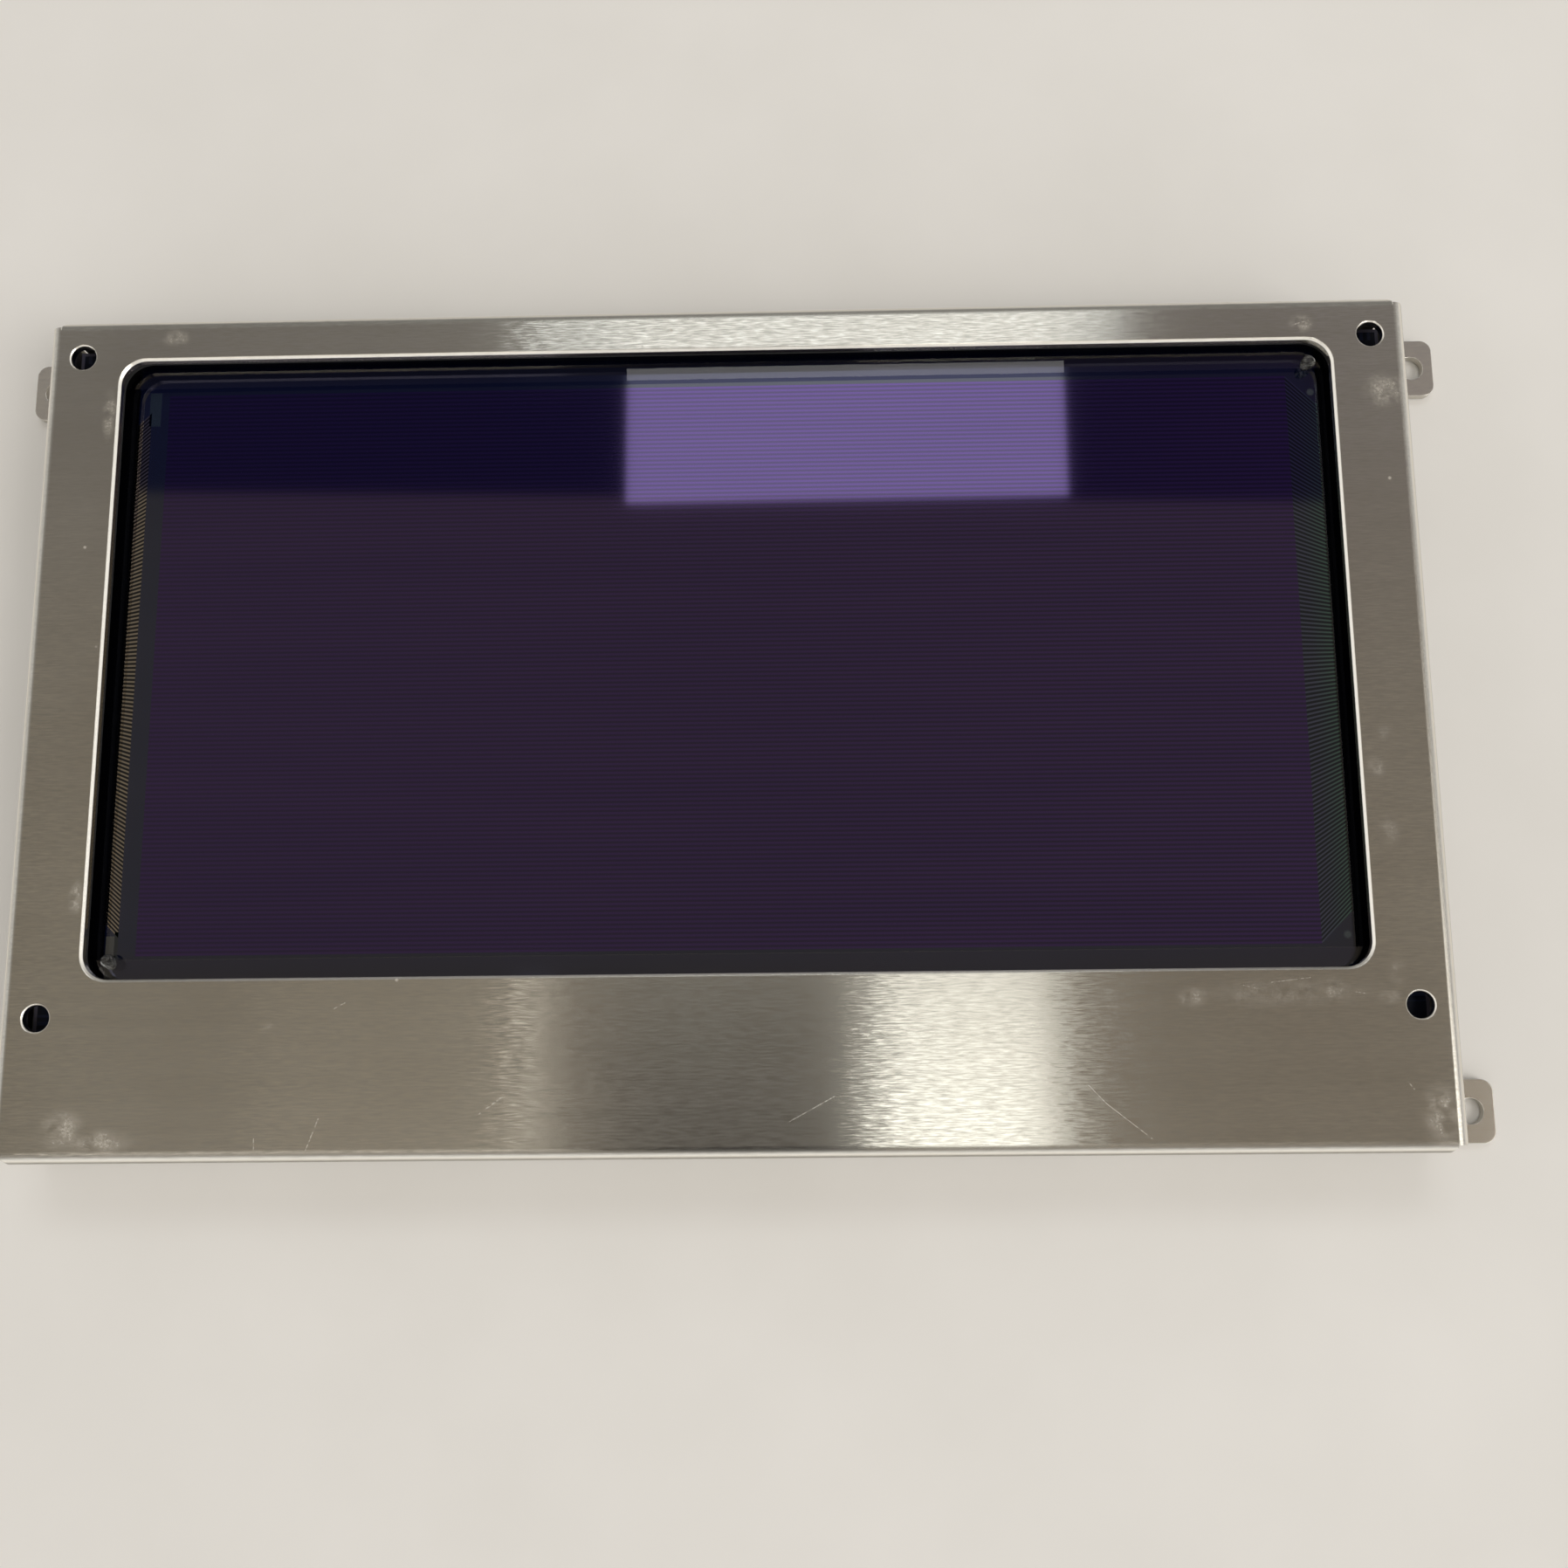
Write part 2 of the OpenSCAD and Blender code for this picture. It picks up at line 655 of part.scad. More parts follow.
module transformer_core() {
    color("#3d3d40") on_board(transformer_place) translate([0, 0, rail_h]) difference() {
        translate([-core_l / 2, -core_l / 2, 0]) cube([core_l, core_l, core_t]);
        for (x = [-leg_w / 2 - slot_w, leg_w / 2])
            translate([x, -slot_l / 2, -cut]) cube([slot_w, slot_l, core_t + 2 * cut]);
    }
}

// Tape-wrapped winding round the middle leg
module transformer_winding() {
    inner_w = leg_w + 2 * winding_gap;
    inner_h = core_t + 2 * winding_gap;
    outer_w = inner_w + 2 * winding_t;
    outer_h = inner_h + 2 * winding_t;
    len = slot_l - 2 * winding_gap;
    color("#b78a2e") on_board(transformer_place) translate([0, len / 2, rail_h + core_t / 2])
        rotate([90, 0, 0]) difference() {
            round_block(outer_w, outer_h, winding_t, len);
            translate([-inner_w / 2, -inner_h / 2, -cut]) cube([inner_w, inner_h, len + 2 * cut]);
        }
}

// Ferrite drum: two flanges on a post, turned in one piece
module choke_core() {
    r = choke_d / 2;
    post_r = post_d / 2;
    post_top = choke_h - flange_t;
    color("#3d3d40") on_board(choke_place) rotate_extrude() polygon([
        [0, 0], [r, 0], [r, flange_t], [post_r, flange_t],
        [post_r, post_top], [r, post_top], [r, choke_h], [0, choke_h]
    ]);
}

module choke_winding() {
    len = choke_h - 2 * (flange_t + winding_gap);
    color("#a8622f") on_board(choke_place) translate([0, 0, flange_t + winding_gap]) difference() {
        cylinder(r = choke_d / 2 - winding_setback, h = len);
        translate([0, 0, -cut]) cylinder(r = post_d / 2 + winding_gap, h = len + 2 * cut);
    }
}

// Surface-mount can on a square base with two bevelled corners
module smoothing_capacitor(i) {
    b = can_w / 2;
    r = can_d / 2;
    top = can_h - can_base_t;
    color("#b9bbbd") on_board(can_places[i]) {
        linear_extrude(can_base_t)
            polygon([[b, b / 2], [b / 2, b], [-b, b], [-b, -b], [b / 2, -b], [b, -b / 2]]);
        translate([0, 0, can_base_t]) rotate_extrude() polygon([
            [0, 0], [r - crimp, 0], [r - crimp, crimp], [r, 2 * crimp],
            [r, top - crimp], [r - crimp, top], [0, top]
        ]);
    }
}

// Power transistor: moulded body on a metal tab with two legs
module power_transistor(i) {
    w = transistor_w;
    l = transistor_l;
    color("#1c1c1e") on_board(transistor_places[i]) {
        translate([-tab_w / 2, 0, 0]) cube([tab_w, l / 2 + tab_reach, tab_t]);
        for (x = [-foot_pitch / 2, foot_pitch / 2])
            translate([x - foot_w / 2, -l / 2 - foot_reach, 0]) cube([foot_w, l / 2 + foot_reach, tab_t]);
        translate([-w / 2, -l / 2, tab_t]) cube([w, l, transistor_h - tab_t]);
    }
}

module chip_capacitors() {
    color("#a5917a") for (place = ceramic_places)
        on_board(place)
            translate([-ceramic_l / 2, -ceramic_w / 2, 0]) cube([ceramic_l, ceramic_w, ceramic_h]);
}

// Places of the header's pins
module at_pins() {
    on_board(header_place)
        for (i = [0:pin_count - 1], row = [-0.5, 0.5])
            translate([(i - (pin_count - 1) / 2) * pin_pitch, row * pin_pitch, 0]) children();
}

module data_header() {
    h = 2 * pin_pitch;
    hole = pin_w + 2 * pin_gap;
    color("#1b1b1b") difference() {
        on_board(header_place) translate([-header_w / 2, -h / 2, 0]) cube([header_w, h, header_h]);
        at_pins() translate([-hole / 2, -hole / 2, -cut]) cube([hole, hole, header_h + 2 * cut]);
    }
}

module header_pins() {
    color("#c8a548") at_pins() translate([-pin_w / 2, -pin_w / 2, 0]) cube([pin_w, pin_w, pin_len]);
}

bezel();
window_gasket();
front_glass();
electrode_film();
panel_seal();
cover_glass();
fill_plug();
for (i = [0:1]) adhesive_dab(1 - 2 * i);
contact_strip(-strip_x, 0, strip_w, strip_len_side);  // contact_strip_left
contact_strip(strip_x, 0, strip_w, strip_len_side);  // contact_strip_right
contact_strip(0, strip_y, strip_len_end, strip_w);  // contact_strip_top
contact_strip(0, -strip_y, strip_len_end, strip_w);  // contact_strip_bottom
for (i = [0:2]) foam_pad(i);
driver_board();
board_standoffs();
board_screws();
for (i = [0:3]) row_driver(i);
for (i = [0:7]) column_driver(i);
controller_chip();
transformer_bobbin();
transformer_core();
transformer_winding();
choke_core();
choke_winding();
for (i = [0:2]) smoothing_capacitor(i);
for (i = [0:3]) power_transistor(i);
chip_capacitors();
data_header();
header_pins();
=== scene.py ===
# %% [markdown]
# # A flat display module in a folded steel bezel
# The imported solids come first, as a fixed frame in metres. Everything after this dresses them: finishes for
# the solids that are already right, and new surfaces where a real piece is softer or finer than its solid.

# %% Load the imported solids
from functools import partial

import bpy
import numpy as np
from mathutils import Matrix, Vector


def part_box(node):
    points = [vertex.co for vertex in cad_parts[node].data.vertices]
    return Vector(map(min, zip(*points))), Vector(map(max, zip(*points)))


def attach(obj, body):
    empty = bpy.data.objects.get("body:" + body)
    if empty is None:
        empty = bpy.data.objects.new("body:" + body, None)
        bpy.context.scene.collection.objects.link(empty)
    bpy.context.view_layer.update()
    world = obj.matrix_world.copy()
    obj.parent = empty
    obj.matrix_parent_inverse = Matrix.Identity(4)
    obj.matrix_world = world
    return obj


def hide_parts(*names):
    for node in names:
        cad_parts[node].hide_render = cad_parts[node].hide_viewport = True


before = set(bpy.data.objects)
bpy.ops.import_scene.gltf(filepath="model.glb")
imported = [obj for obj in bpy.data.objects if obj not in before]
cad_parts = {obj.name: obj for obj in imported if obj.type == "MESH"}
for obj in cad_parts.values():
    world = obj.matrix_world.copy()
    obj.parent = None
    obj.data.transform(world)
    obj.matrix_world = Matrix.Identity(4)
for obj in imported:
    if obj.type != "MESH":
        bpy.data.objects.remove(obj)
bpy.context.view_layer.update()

# %% [markdown]
# ## Tools for finishes
# Colours are picked as sRGB hex values, as in a paint program, but shaders work with linear light, so one
# function turns the first into the second. A second one fills or links a node's inputs, and a third adds a
# node. A finish starts from the point on the surface in millimetres, because every pattern below has a size
# that can be measured with a ruler.

# %% Colour, node and finish helpers
def colour(hex_value):
    """The sRGB hex colour as linear red, green, blue and alpha."""
    srgb = np.array([int(hex_value[i:i + 2], 16) for i in (1, 3, 5)]) / 255
    linear = np.where(srgb <= 0.04045, srgb / 12.92, ((srgb + 0.055) / 1.055) ** 2.4)
    return (*linear.tolist(), 1.0)


def fill(node, sockets):
    """Sets a node's inputs, or links them where the value is a node (its first live output) or an output."""
    for socket, value in sockets.items():
        if isinstance(value, bpy.types.Node):
            value = next(out for out in value.outputs if out.enabled)
        if isinstance(value, bpy.types.NodeSocket):
            node.id_data.links.new(value, node.inputs[socket])
        else:
            node.inputs[socket].default_value = value
    return node


def add_node(tree, kind, sockets=None, **settings):
    """Adds a shader node with its settings, then fills its inputs."""
    node = tree.nodes.new("ShaderNode" + kind)
    for name, value in settings.items():
        setattr(node, name, value)
    return fill(node, sockets or {})


def start_finish(name):
    """A new material, a function that adds nodes to it, its shader, and the surface point in millimetres."""
    material = bpy.data.materials.new(name)
    material.use_nodes = True
    put = partial(add_node, material.node_tree)
    place = put("TexCoord").outputs["Object"]
    mm = put("VectorMath", {0: place, "Scale": 1000.0}, operation="SCALE")
    return material, put, material.node_tree.nodes["Principled BSDF"], mm


def dress(material, *names):
    """Gives a finish to every CAD node whose name starts with one of these words."""
    done = [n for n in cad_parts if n.startswith(names)]
    for n in done:
        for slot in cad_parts[n].material_slots:
            slot.material = material
    print(f"{material.name}: {len(done)} solids, {len(material.node_tree.nodes)} nodes")


print("steel grey #a19f97 is", np.round(colour("#a19f97")[:3], 3), "in linear light")

# %% [markdown]
# ## Brushed stainless steel
# The bezel is cut from sheet that was brushed along its length before it was folded, so the fine strokes run
# along X on the front, along X on the end walls too, and up the side walls. Real strokes are far finer than a
# pixel, so they are drawn a quarter of a millimetre wide. Brushed metal also stretches highlights across its
# strokes; the shader's anisotropy does that, with the tangent laid across the grain. The front has the marks
# of use: a few scratches, rubbed patches and specks. A bump map could cut them in, but they are so shallow
# that only their scatter shows, so they are drawn as paler, rougher and less metallic places.

# %% Scratches and scuffs of the front face
SHEET_FRONT = 18.5  # height of the front face in millimetres
SCRATCHES = [  # both ends of each scratch in millimetres on the front face, and its width
    ((-63.6, -64.2), (-65.4, -69.0), 0.13), ((-73.7, -67.2), (-73.6, -69.2), 0.12),
    ((-61.8, -47.1), (-60.1, -46.2), 0.10), ((97.2, 66.0), (98.9, 66.5), 0.16),
    ((10.5, -65.3), (17.6, -61.5), 0.10), ((-38.2, -63.7), (-34.5, -61.0), 0.09),
    ((56.9, -59.7), (60.0, -63.0), 0.09), ((60.0, -63.0), (67.1, -68.6), 0.10),
    ((106.8, -60.0), (107.7, -61.2), 0.10), ((86.6, -44.5), (92.8, -43.8), 0.08),
    ((82.2, -44.9), (84.1, -45.4), 0.08), ((99.6, -46.1), (101.5, -46.4), 0.08),
]
SCUFFS = [  # middle, half width and half height of each rubbed patch in millimetres, and its strength
    (-104.2, -65.8, 4.5, 4.2, 0.9), (-98.5, -67.5, 7.0, 2.4, 0.9), (111.7, 53.9, 4.6, 4.0, 0.8),
    (98.3, 66.2, 2.6, 2.2, 0.9), (111.8, -65.1, 4.2, 6.0, 0.8), (-71.9, -50.4, 1.6, 1.4, 0.9),
    (-93.9, 67.4, 3.0, 2.0, 0.9), (-104.6, 53.6, 1.6, 5.5, 0.9), (-104.6, -29.0, 1.6, 4.0, 0.9),
    (74.4, -46.6, 3.6, 2.2, 0.55), (82.1, -47.0, 3.2, 2.0, 0.5), (96.0, -45.7, 3.2, 2.6, 0.55),
    (88.8, -46.1, 19.0, 3.2, 0.3), (105.0, -46.9, 2.4, 1.6, 0.55), (106.5, -43.1, 2.2, 2.4, 0.45),
    (105.5, -10.3, 2.2, 2.4, 0.5), (106.7, -20.5, 2.6, 3.4, 0.4), (107.2, -4.6, 1.6, 1.6, 0.4),
]
SKIP, BLOTCH, FLECK, SPECK_SPACING = 0.6, 2.6, 0.45, 11.0  # sizes of the wear's patterns in millimetres


def scratch_lines(put, mm):
    """One where the surface lies on a scratch: the distance from each line's nearest point, against its width.
    Noise breaks the lines up, because a scratch skips over the grain."""
    lines = None
    for (x1, y1), (x2, y2), width in SCRATCHES:
        start, along = np.array([x1, y1, SHEET_FRONT]), np.array([x2 - x1, y2 - y1, 0.0])
        per_mm = along / (along @ along)
        share = put("VectorMath", {0: mm, 1: per_mm}, operation="DOT_PRODUCT")
        share = put("Math", {0: share.outputs["Value"], 1: start @ per_mm}, operation="SUBTRACT",
                    use_clamp=True)
        nearest = put("VectorMath", {0: along, 1: share, 2: start}, operation="MULTIPLY_ADD")
        gap = put("VectorMath", {0: mm, 1: nearest}, operation="DISTANCE")
        line = put("MapRange", {"Value": gap.outputs["Value"], "From Min": 0.2 * width, "From Max": width,
                                "To Min": 1.0, "To Max": 0.0})
        lines = line if lines is None else put("Math", {0: lines, 1: line}, operation="MAXIMUM")
    skips = put("TexNoise", {"Vector": mm, "Scale": 1 / SKIP, "Detail": 1.0})
    skips = put("MapRange", {"Value": skips, "From Min": 0.35, "From Max": 0.6, "To Min": 0.15, "To Max": 0.75})
    return put("Math", {0: lines, 1: skips}, operation="MULTIPLY")


def scuff_patches(put, mm):
    """Fine flecks inside each rubbed patch, fading to nothing at its rim, and a few single specks elsewhere. A
    patch is an oval: shrinking its space makes it a circle, and there the distance from the middle counts."""
    patches = None
    for x, y, wide, tall, strength in SCUFFS:
        shrink = np.array([1 / wide, 1 / tall, 1.0])
        shrunk = put("VectorMath", {0: mm, 1: shrink}, operation="MULTIPLY")
        gap = put("VectorMath", {0: shrunk, 1: shrink * (x, y, SHEET_FRONT)}, operation="DISTANCE")
        patch = put("MapRange", {"Value": gap.outputs["Value"], "From Min": 0.1, "From Max": 1.0,
                                 "To Min": strength, "To Max": 0.0}, interpolation_type="SMOOTHSTEP")
        patches = patch if patches is None else put("Math", {0: patches, 1: patch}, operation="MAXIMUM")
    blotch = put("TexNoise", {"Vector": mm, "Scale": 1 / BLOTCH, "Detail": 3.0, "Roughness": 0.6})
    blotch = put("MapRange", {"Value": blotch, "From Min": 0.36, "From Max": 0.58})
    fleck = put("TexNoise", {"Vector": mm, "Scale": 1 / FLECK, "Detail": 3.0, "Roughness": 0.7})
    fleck = put("MapRange", {"Value": fleck, "From Min": 0.42, "From Max": 0.66, "To Min": 0.35})
    rubbed = put("Math", {0: patches, 1: blotch}, operation="MULTIPLY")
    rubbed = put("Math", {0: rubbed, 1: fleck}, operation="MULTIPLY")
    speck = put("TexVoronoi", {"Vector": mm, "Scale": 1 / SPECK_SPACING})
    speck = put("MapRange", {"Value": speck, "From Min": 0.015, "From Max": 0.034,
                             "To Min": 0.7, "To Max": 0.0})
    return put("Math", {0: rubbed, 1: speck}, operation="MAXIMUM")


print(len(SCRATCHES), "scratches and", len(SCUFFS), "rubbed patches")

# %% Brushed steel with burnished edges and painted highlights
STROKES = [(2.4, 0.26), (90.0, 2.2)]  # length and width of the fine strokes, and of the broad bands
STAIN = 38.0  # size of the faint cloudy stains
WALL_SHARE = 0.7  # a face is a side or end wall where its normal has more than this along X or Y
EDGE_ROUNDING = 0.0002  # in metres
CUTS_WITHIN = (113.0, 69.0)  # nearer the middle than this, an upright face is the wall of a cut
EARS_FROM = 116.5  # the ears lie farther out along X than this


def brushed_stainless():
    """Metal with strokes in colour, roughness and tilt, pale edges and wear. The strokes are noise stretched
    along X. Each one also leans a little along X, which frays the ends of a reflection. Edges are found in two
    ways: by a normal that lies halfway over, and by how far a rounded normal turns away from the flat one.
    Their pale colour is partly the polish of cut edges and partly a painted highlight: a line along every fold,
    where the surface leans halfway over."""
    material, put, shader, mm = start_finish("brushed_stainless")
    at = put("SeparateXYZ", {0: mm})
    facing = put("SeparateXYZ", {0: put("TexCoord").outputs["Normal"]})
    across = [put("Math", {0: facing.outputs[axis]}, operation="ABSOLUTE") for axis in "XYZ"]
    side_wall = put("Math", {0: across[0], 1: WALL_SHARE}, operation="GREATER_THAN")
    end_wall = put("Math", {0: across[1], 1: WALL_SHARE}, operation="GREATER_THAN")

    grains = []
    for length, width in STROKES:
        rise = put("Mix", {0: side_wall, 2: 1 / width, 3: 1 / length})
        x = put("Math", {0: at.outputs["X"], 1: 1 / length}, operation="MULTIPLY")
        y = put("Math", {0: at.outputs["Y"], 1: 1 / width}, operation="MULTIPLY")
        z = put("Math", {0: at.outputs["Z"], 1: rise}, operation="MULTIPLY")
        grains.append(put("TexNoise", {"Vector": put("CombineXYZ", {0: x, 1: y, 2: z}), "Scale": 1.0,
                                       "Detail": 2.0, "Roughness": 0.6}))
    fine, broad = grains
    cloudy = put("TexNoise", {"Vector": mm, "Scale": 1 / STAIN, "Detail": 5.0, "Roughness": 0.6})

    wear = put("Math", {0: scratch_lines(put, mm), 1: scuff_patches(put, mm)}, operation="MAXIMUM")
    wear = put("Math", {0: wear, 1: 0.8}, operation="MULTIPLY")
    soft_edge = put("Bevel", {"Radius": EDGE_ROUNDING}, samples=4)
    flat = put("NewGeometry").outputs["Normal"]
    turned_away = put("VectorMath", {0: soft_edge, 1: flat}, operation="DOT_PRODUCT")
    edge = put("MapRange", {"Value": turned_away.outputs["Value"], "From Min": 0.97, "From Max": 0.82})
    # Pale edges: partly polished cut edges, partly a painted highlight along the halfway slope of every fold.
    slope = put("Math", {0: across[2], 1: 0.707}, operation="SUBTRACT")
    slope = put("Math", {0: slope}, operation="ABSOLUTE")
    burnish_and_highlight = put("MapRange", {"Value": slope, "From Min": 0.05, "From Max": 0.2, "To Min": 1.0, "To Max": 0.0})
    burnish_and_highlight = put("Math", {0: burnish_and_highlight, 1: edge}, operation="MAXIMUM")
    away = [put("Math", {0: at.outputs[axis]}, operation="ABSOLUTE") for axis in "XY"]
    cut_wall = put("Math", {0: across[2], 1: 0.3}, operation="LESS_THAN")
    for place, limit in zip(away, CUTS_WITHIN):
        within = put("Math", {0: place, 1: limit}, operation="LESS_THAN")
        cut_wall = put("Math", {0: cut_wall, 1: within}, operation="MULTIPLY")
    ear = put("Math", {0: away[0], 1: EARS_FROM}, operation="GREATER_THAN")

    strokes = put("MapRange", {"Value": fine, "From Min": 0.3, "From Max": 0.7})
    shade = put("Mix", {0: 0.6, 2: broad, 3: strokes})
    steel = put("Mix", {0: shade, 6: colour("#a19f97"), 7: colour("#c0bdb6")}, data_type="RGBA")
    cloud = put("MapRange", {"Value": cloudy, "From Min": 0.35, "From Max": 0.7, "To Min": 0.0, "To Max": 0.35})
    steel = put("Mix", {0: cloud, 6: steel, 7: colour("#98938a")}, data_type="RGBA")
    steel = put("Mix", {0: ear, 6: steel, 7: colour("#d0ccc4")}, data_type="RGBA")
    # Painted highlight together with real polish: edges and the halfway slope of the folds turn pale.
    steel = put("Mix", {0: burnish_and_highlight, 6: steel, 7: colour("#f2eee5")}, data_type="RGBA")
    steel = put("Mix", {0: wear, 6: steel, 7: colour("#e3ddd2")}, data_type="RGBA")
    steel = put("Mix", {0: cut_wall, 6: steel, 7: colour("#d6d0c4")}, data_type="RGBA")
    rough = put("MapRange", {"Value": strokes, "To Min": 0.24, "To Max": 0.15})
    rough = put("Mix", {0: wear, 2: rough, 3: 0.4})
    rough = put("Mix", {0: cut_wall, 2: rough, 3: 0.14})
    bump = put("Bump", {"Height": fine, "Strength": 0.12, "Distance": 0.00003, "Normal": soft_edge})
    tilt = put("MapRange", {"Value": fine, "From Min": 0.25, "From Max": 0.75,
                            "To Min": -0.008, "To Max": 0.008})
    leaning = put("VectorMath", {0: bump, 1: put("CombineXYZ", {0: tilt})}, operation="ADD")
    leaning = put("VectorMath", {0: leaning}, operation="NORMALIZE")
    lie = put("Math", {0: 1.0, 1: end_wall}, operation="SUBTRACT")
    tangent = put("CombineXYZ", {0: 0.0, 1: lie, 2: end_wall})
    scattering = put("MapRange", {"Value": wear, "To Min": 1.0, "To Max": 0.3})
    fill(shader, {"Base Color": steel, "Metallic": scattering, "Roughness": rough, "Anisotropic": 1.0,
                  "Normal": leaning, "Tangent": tangent})
    return material


dress(brushed_stainless(), "bezel")

# %% [markdown]
# ## The panel: clear glass over a dark violet film
# The front glass is polished float glass. Behind it the thin films look nearly black with a violet sheen.
# Fine row electrodes cross the picture area, and their leads run out on both sides, crowding toward the
# middle height as they go. The film is a new, very thin sheet that reaches a hair into the glass, so that the
# two never share one face, which would make the renderer flicker between them. The glass is see-through
# rather than refracting: lamps don't light a film through refracting glass without slow caustics.

# %% Glass
PICTURE = (96.5, 10.35, 48.55)  # half width, middle height and half height of the picture area
ROWS_END = 49.2  # beyond this height from the middle, the film has no rows or leads


def beyond_rows(put, mm):
    """One above and below the rows, and nought at their height."""
    height = put("Math", {0: put("SeparateXYZ", {0: mm}).outputs["Y"], 1: PICTURE[1]}, operation="SUBTRACT")
    height = put("Math", {0: height}, operation="ABSOLUTE")
    return put("Math", {0: height, 1: ROWS_END}, operation="GREATER_THAN")


def panel_glass():
    """Clear glass with very faint wiping streaks in its tint: see-through, under gloss that grows toward
    grazing angles by Fresnel's law. It doesn't bend light, which a thin flat plate hides anyway, so lamps
    reach the film through it. At the height of the rows the film close behind carries the gloss of both, so
    that its fine lines stay free of noise."""
    material, put, shader, mm = start_finish("polished_float_glass")
    mirrors = put("Math", {0: beyond_rows(put, mm), 1: put("Fresnel", {"IOR": 1.5})}, operation="MULTIPLY")
    streaks = put("Mapping", {0: mm, "Rotation": (0.0, 0.0, 0.5), "Scale": (1 / 60.0, 1 / 6.0, 1.0)})
    wiped = put("TexNoise", {"Vector": streaks, "Scale": 1.0, "Detail": 2.0})
    tint = put("Mix", {0: wiped, 6: colour("#f3f6f7"), 7: colour("#fdfefe")}, data_type="RGBA")
    clear = put("BsdfTransparent", {"Color": tint})
    gloss = put("BsdfAnisotropic", {"Color": (1.0, 1.0, 1.0, 1.0), "Roughness": 0.0})
    plate = put("MixShader", {0: mirrors, 1: clear, 2: gloss})
    fill(material.node_tree.nodes["Material Output"], {"Surface": plate})
    material.node_tree.nodes.remove(shader)
    return material


dress(panel_glass(), "front_glass")

# %% A closed skin from rings of points
def node_box(name):
    """Lowest and highest corner of a CAD node in millimetres."""
    return [np.array(corner) * 1000 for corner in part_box(name)]


def ringed_skin(name, rings, material, slot, *nodes):
    """Joins neighbouring rings with quads and closes the first and last ring with a flat cap."""
    rings = np.asarray(rings, float)
    count, around = rings.shape[:2]
    corner = np.arange(count * around).reshape(count, around)
    after = np.roll(corner, -1, axis=1)
    walls = np.stack([corner[:-1], after[:-1], after[1:], corner[1:]], axis=-1).reshape(-1, 4)
    mesh = bpy.data.meshes.new(name)
    mesh.from_pydata((rings.reshape(-1, 3) / 1000).tolist(), [],
                     walls.tolist() + [corner[0, ::-1].tolist(), corner[-1].tolist()])
    mesh.materials.append(material)
    piece = bpy.data.objects.new(name, mesh)
    bpy.context.scene.collection.objects.link(piece)
    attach(piece, "root")
    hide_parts(*nodes)
    print(f"{name}: {len(mesh.vertices)} points, {len(mesh.polygons)} faces")
    return piece


print("the film's solid runs from", *[np.round(corner, 2) for corner in node_box("electrode_film")], "mm")

# %% Electrode film: row lines and fanned leads
ROW_PITCH = 0.75  # twice the real 0.375 mm, so that the lines show; the leads beside the picture really have it
LEAD_CROWDING = 0.0208  # how fast the leads close up, per millimetre beyond the picture
LEFT_LEADS_START, LEADS_END = 99.5, 101.7  # along X from the middle; on the right they start at the picture
FILM_LAP = 0.05  # how far the film reaches into the glass
PADS = [  # left, bottom, right and top of the bare conductor pads in the left corners, and their colours
    (-101.5, -42.0, -100.1, -34.9, "#3a3935"), (-100.1, -42.0, -99.5, -34.2, "#040a08"),
    (-99.9, 53.4, -97.9, 59.5, "#19222b"),
]
SPOTS = [(100.7, 55.9), (100.7, -36.8)]  # pale register spots in the right corners


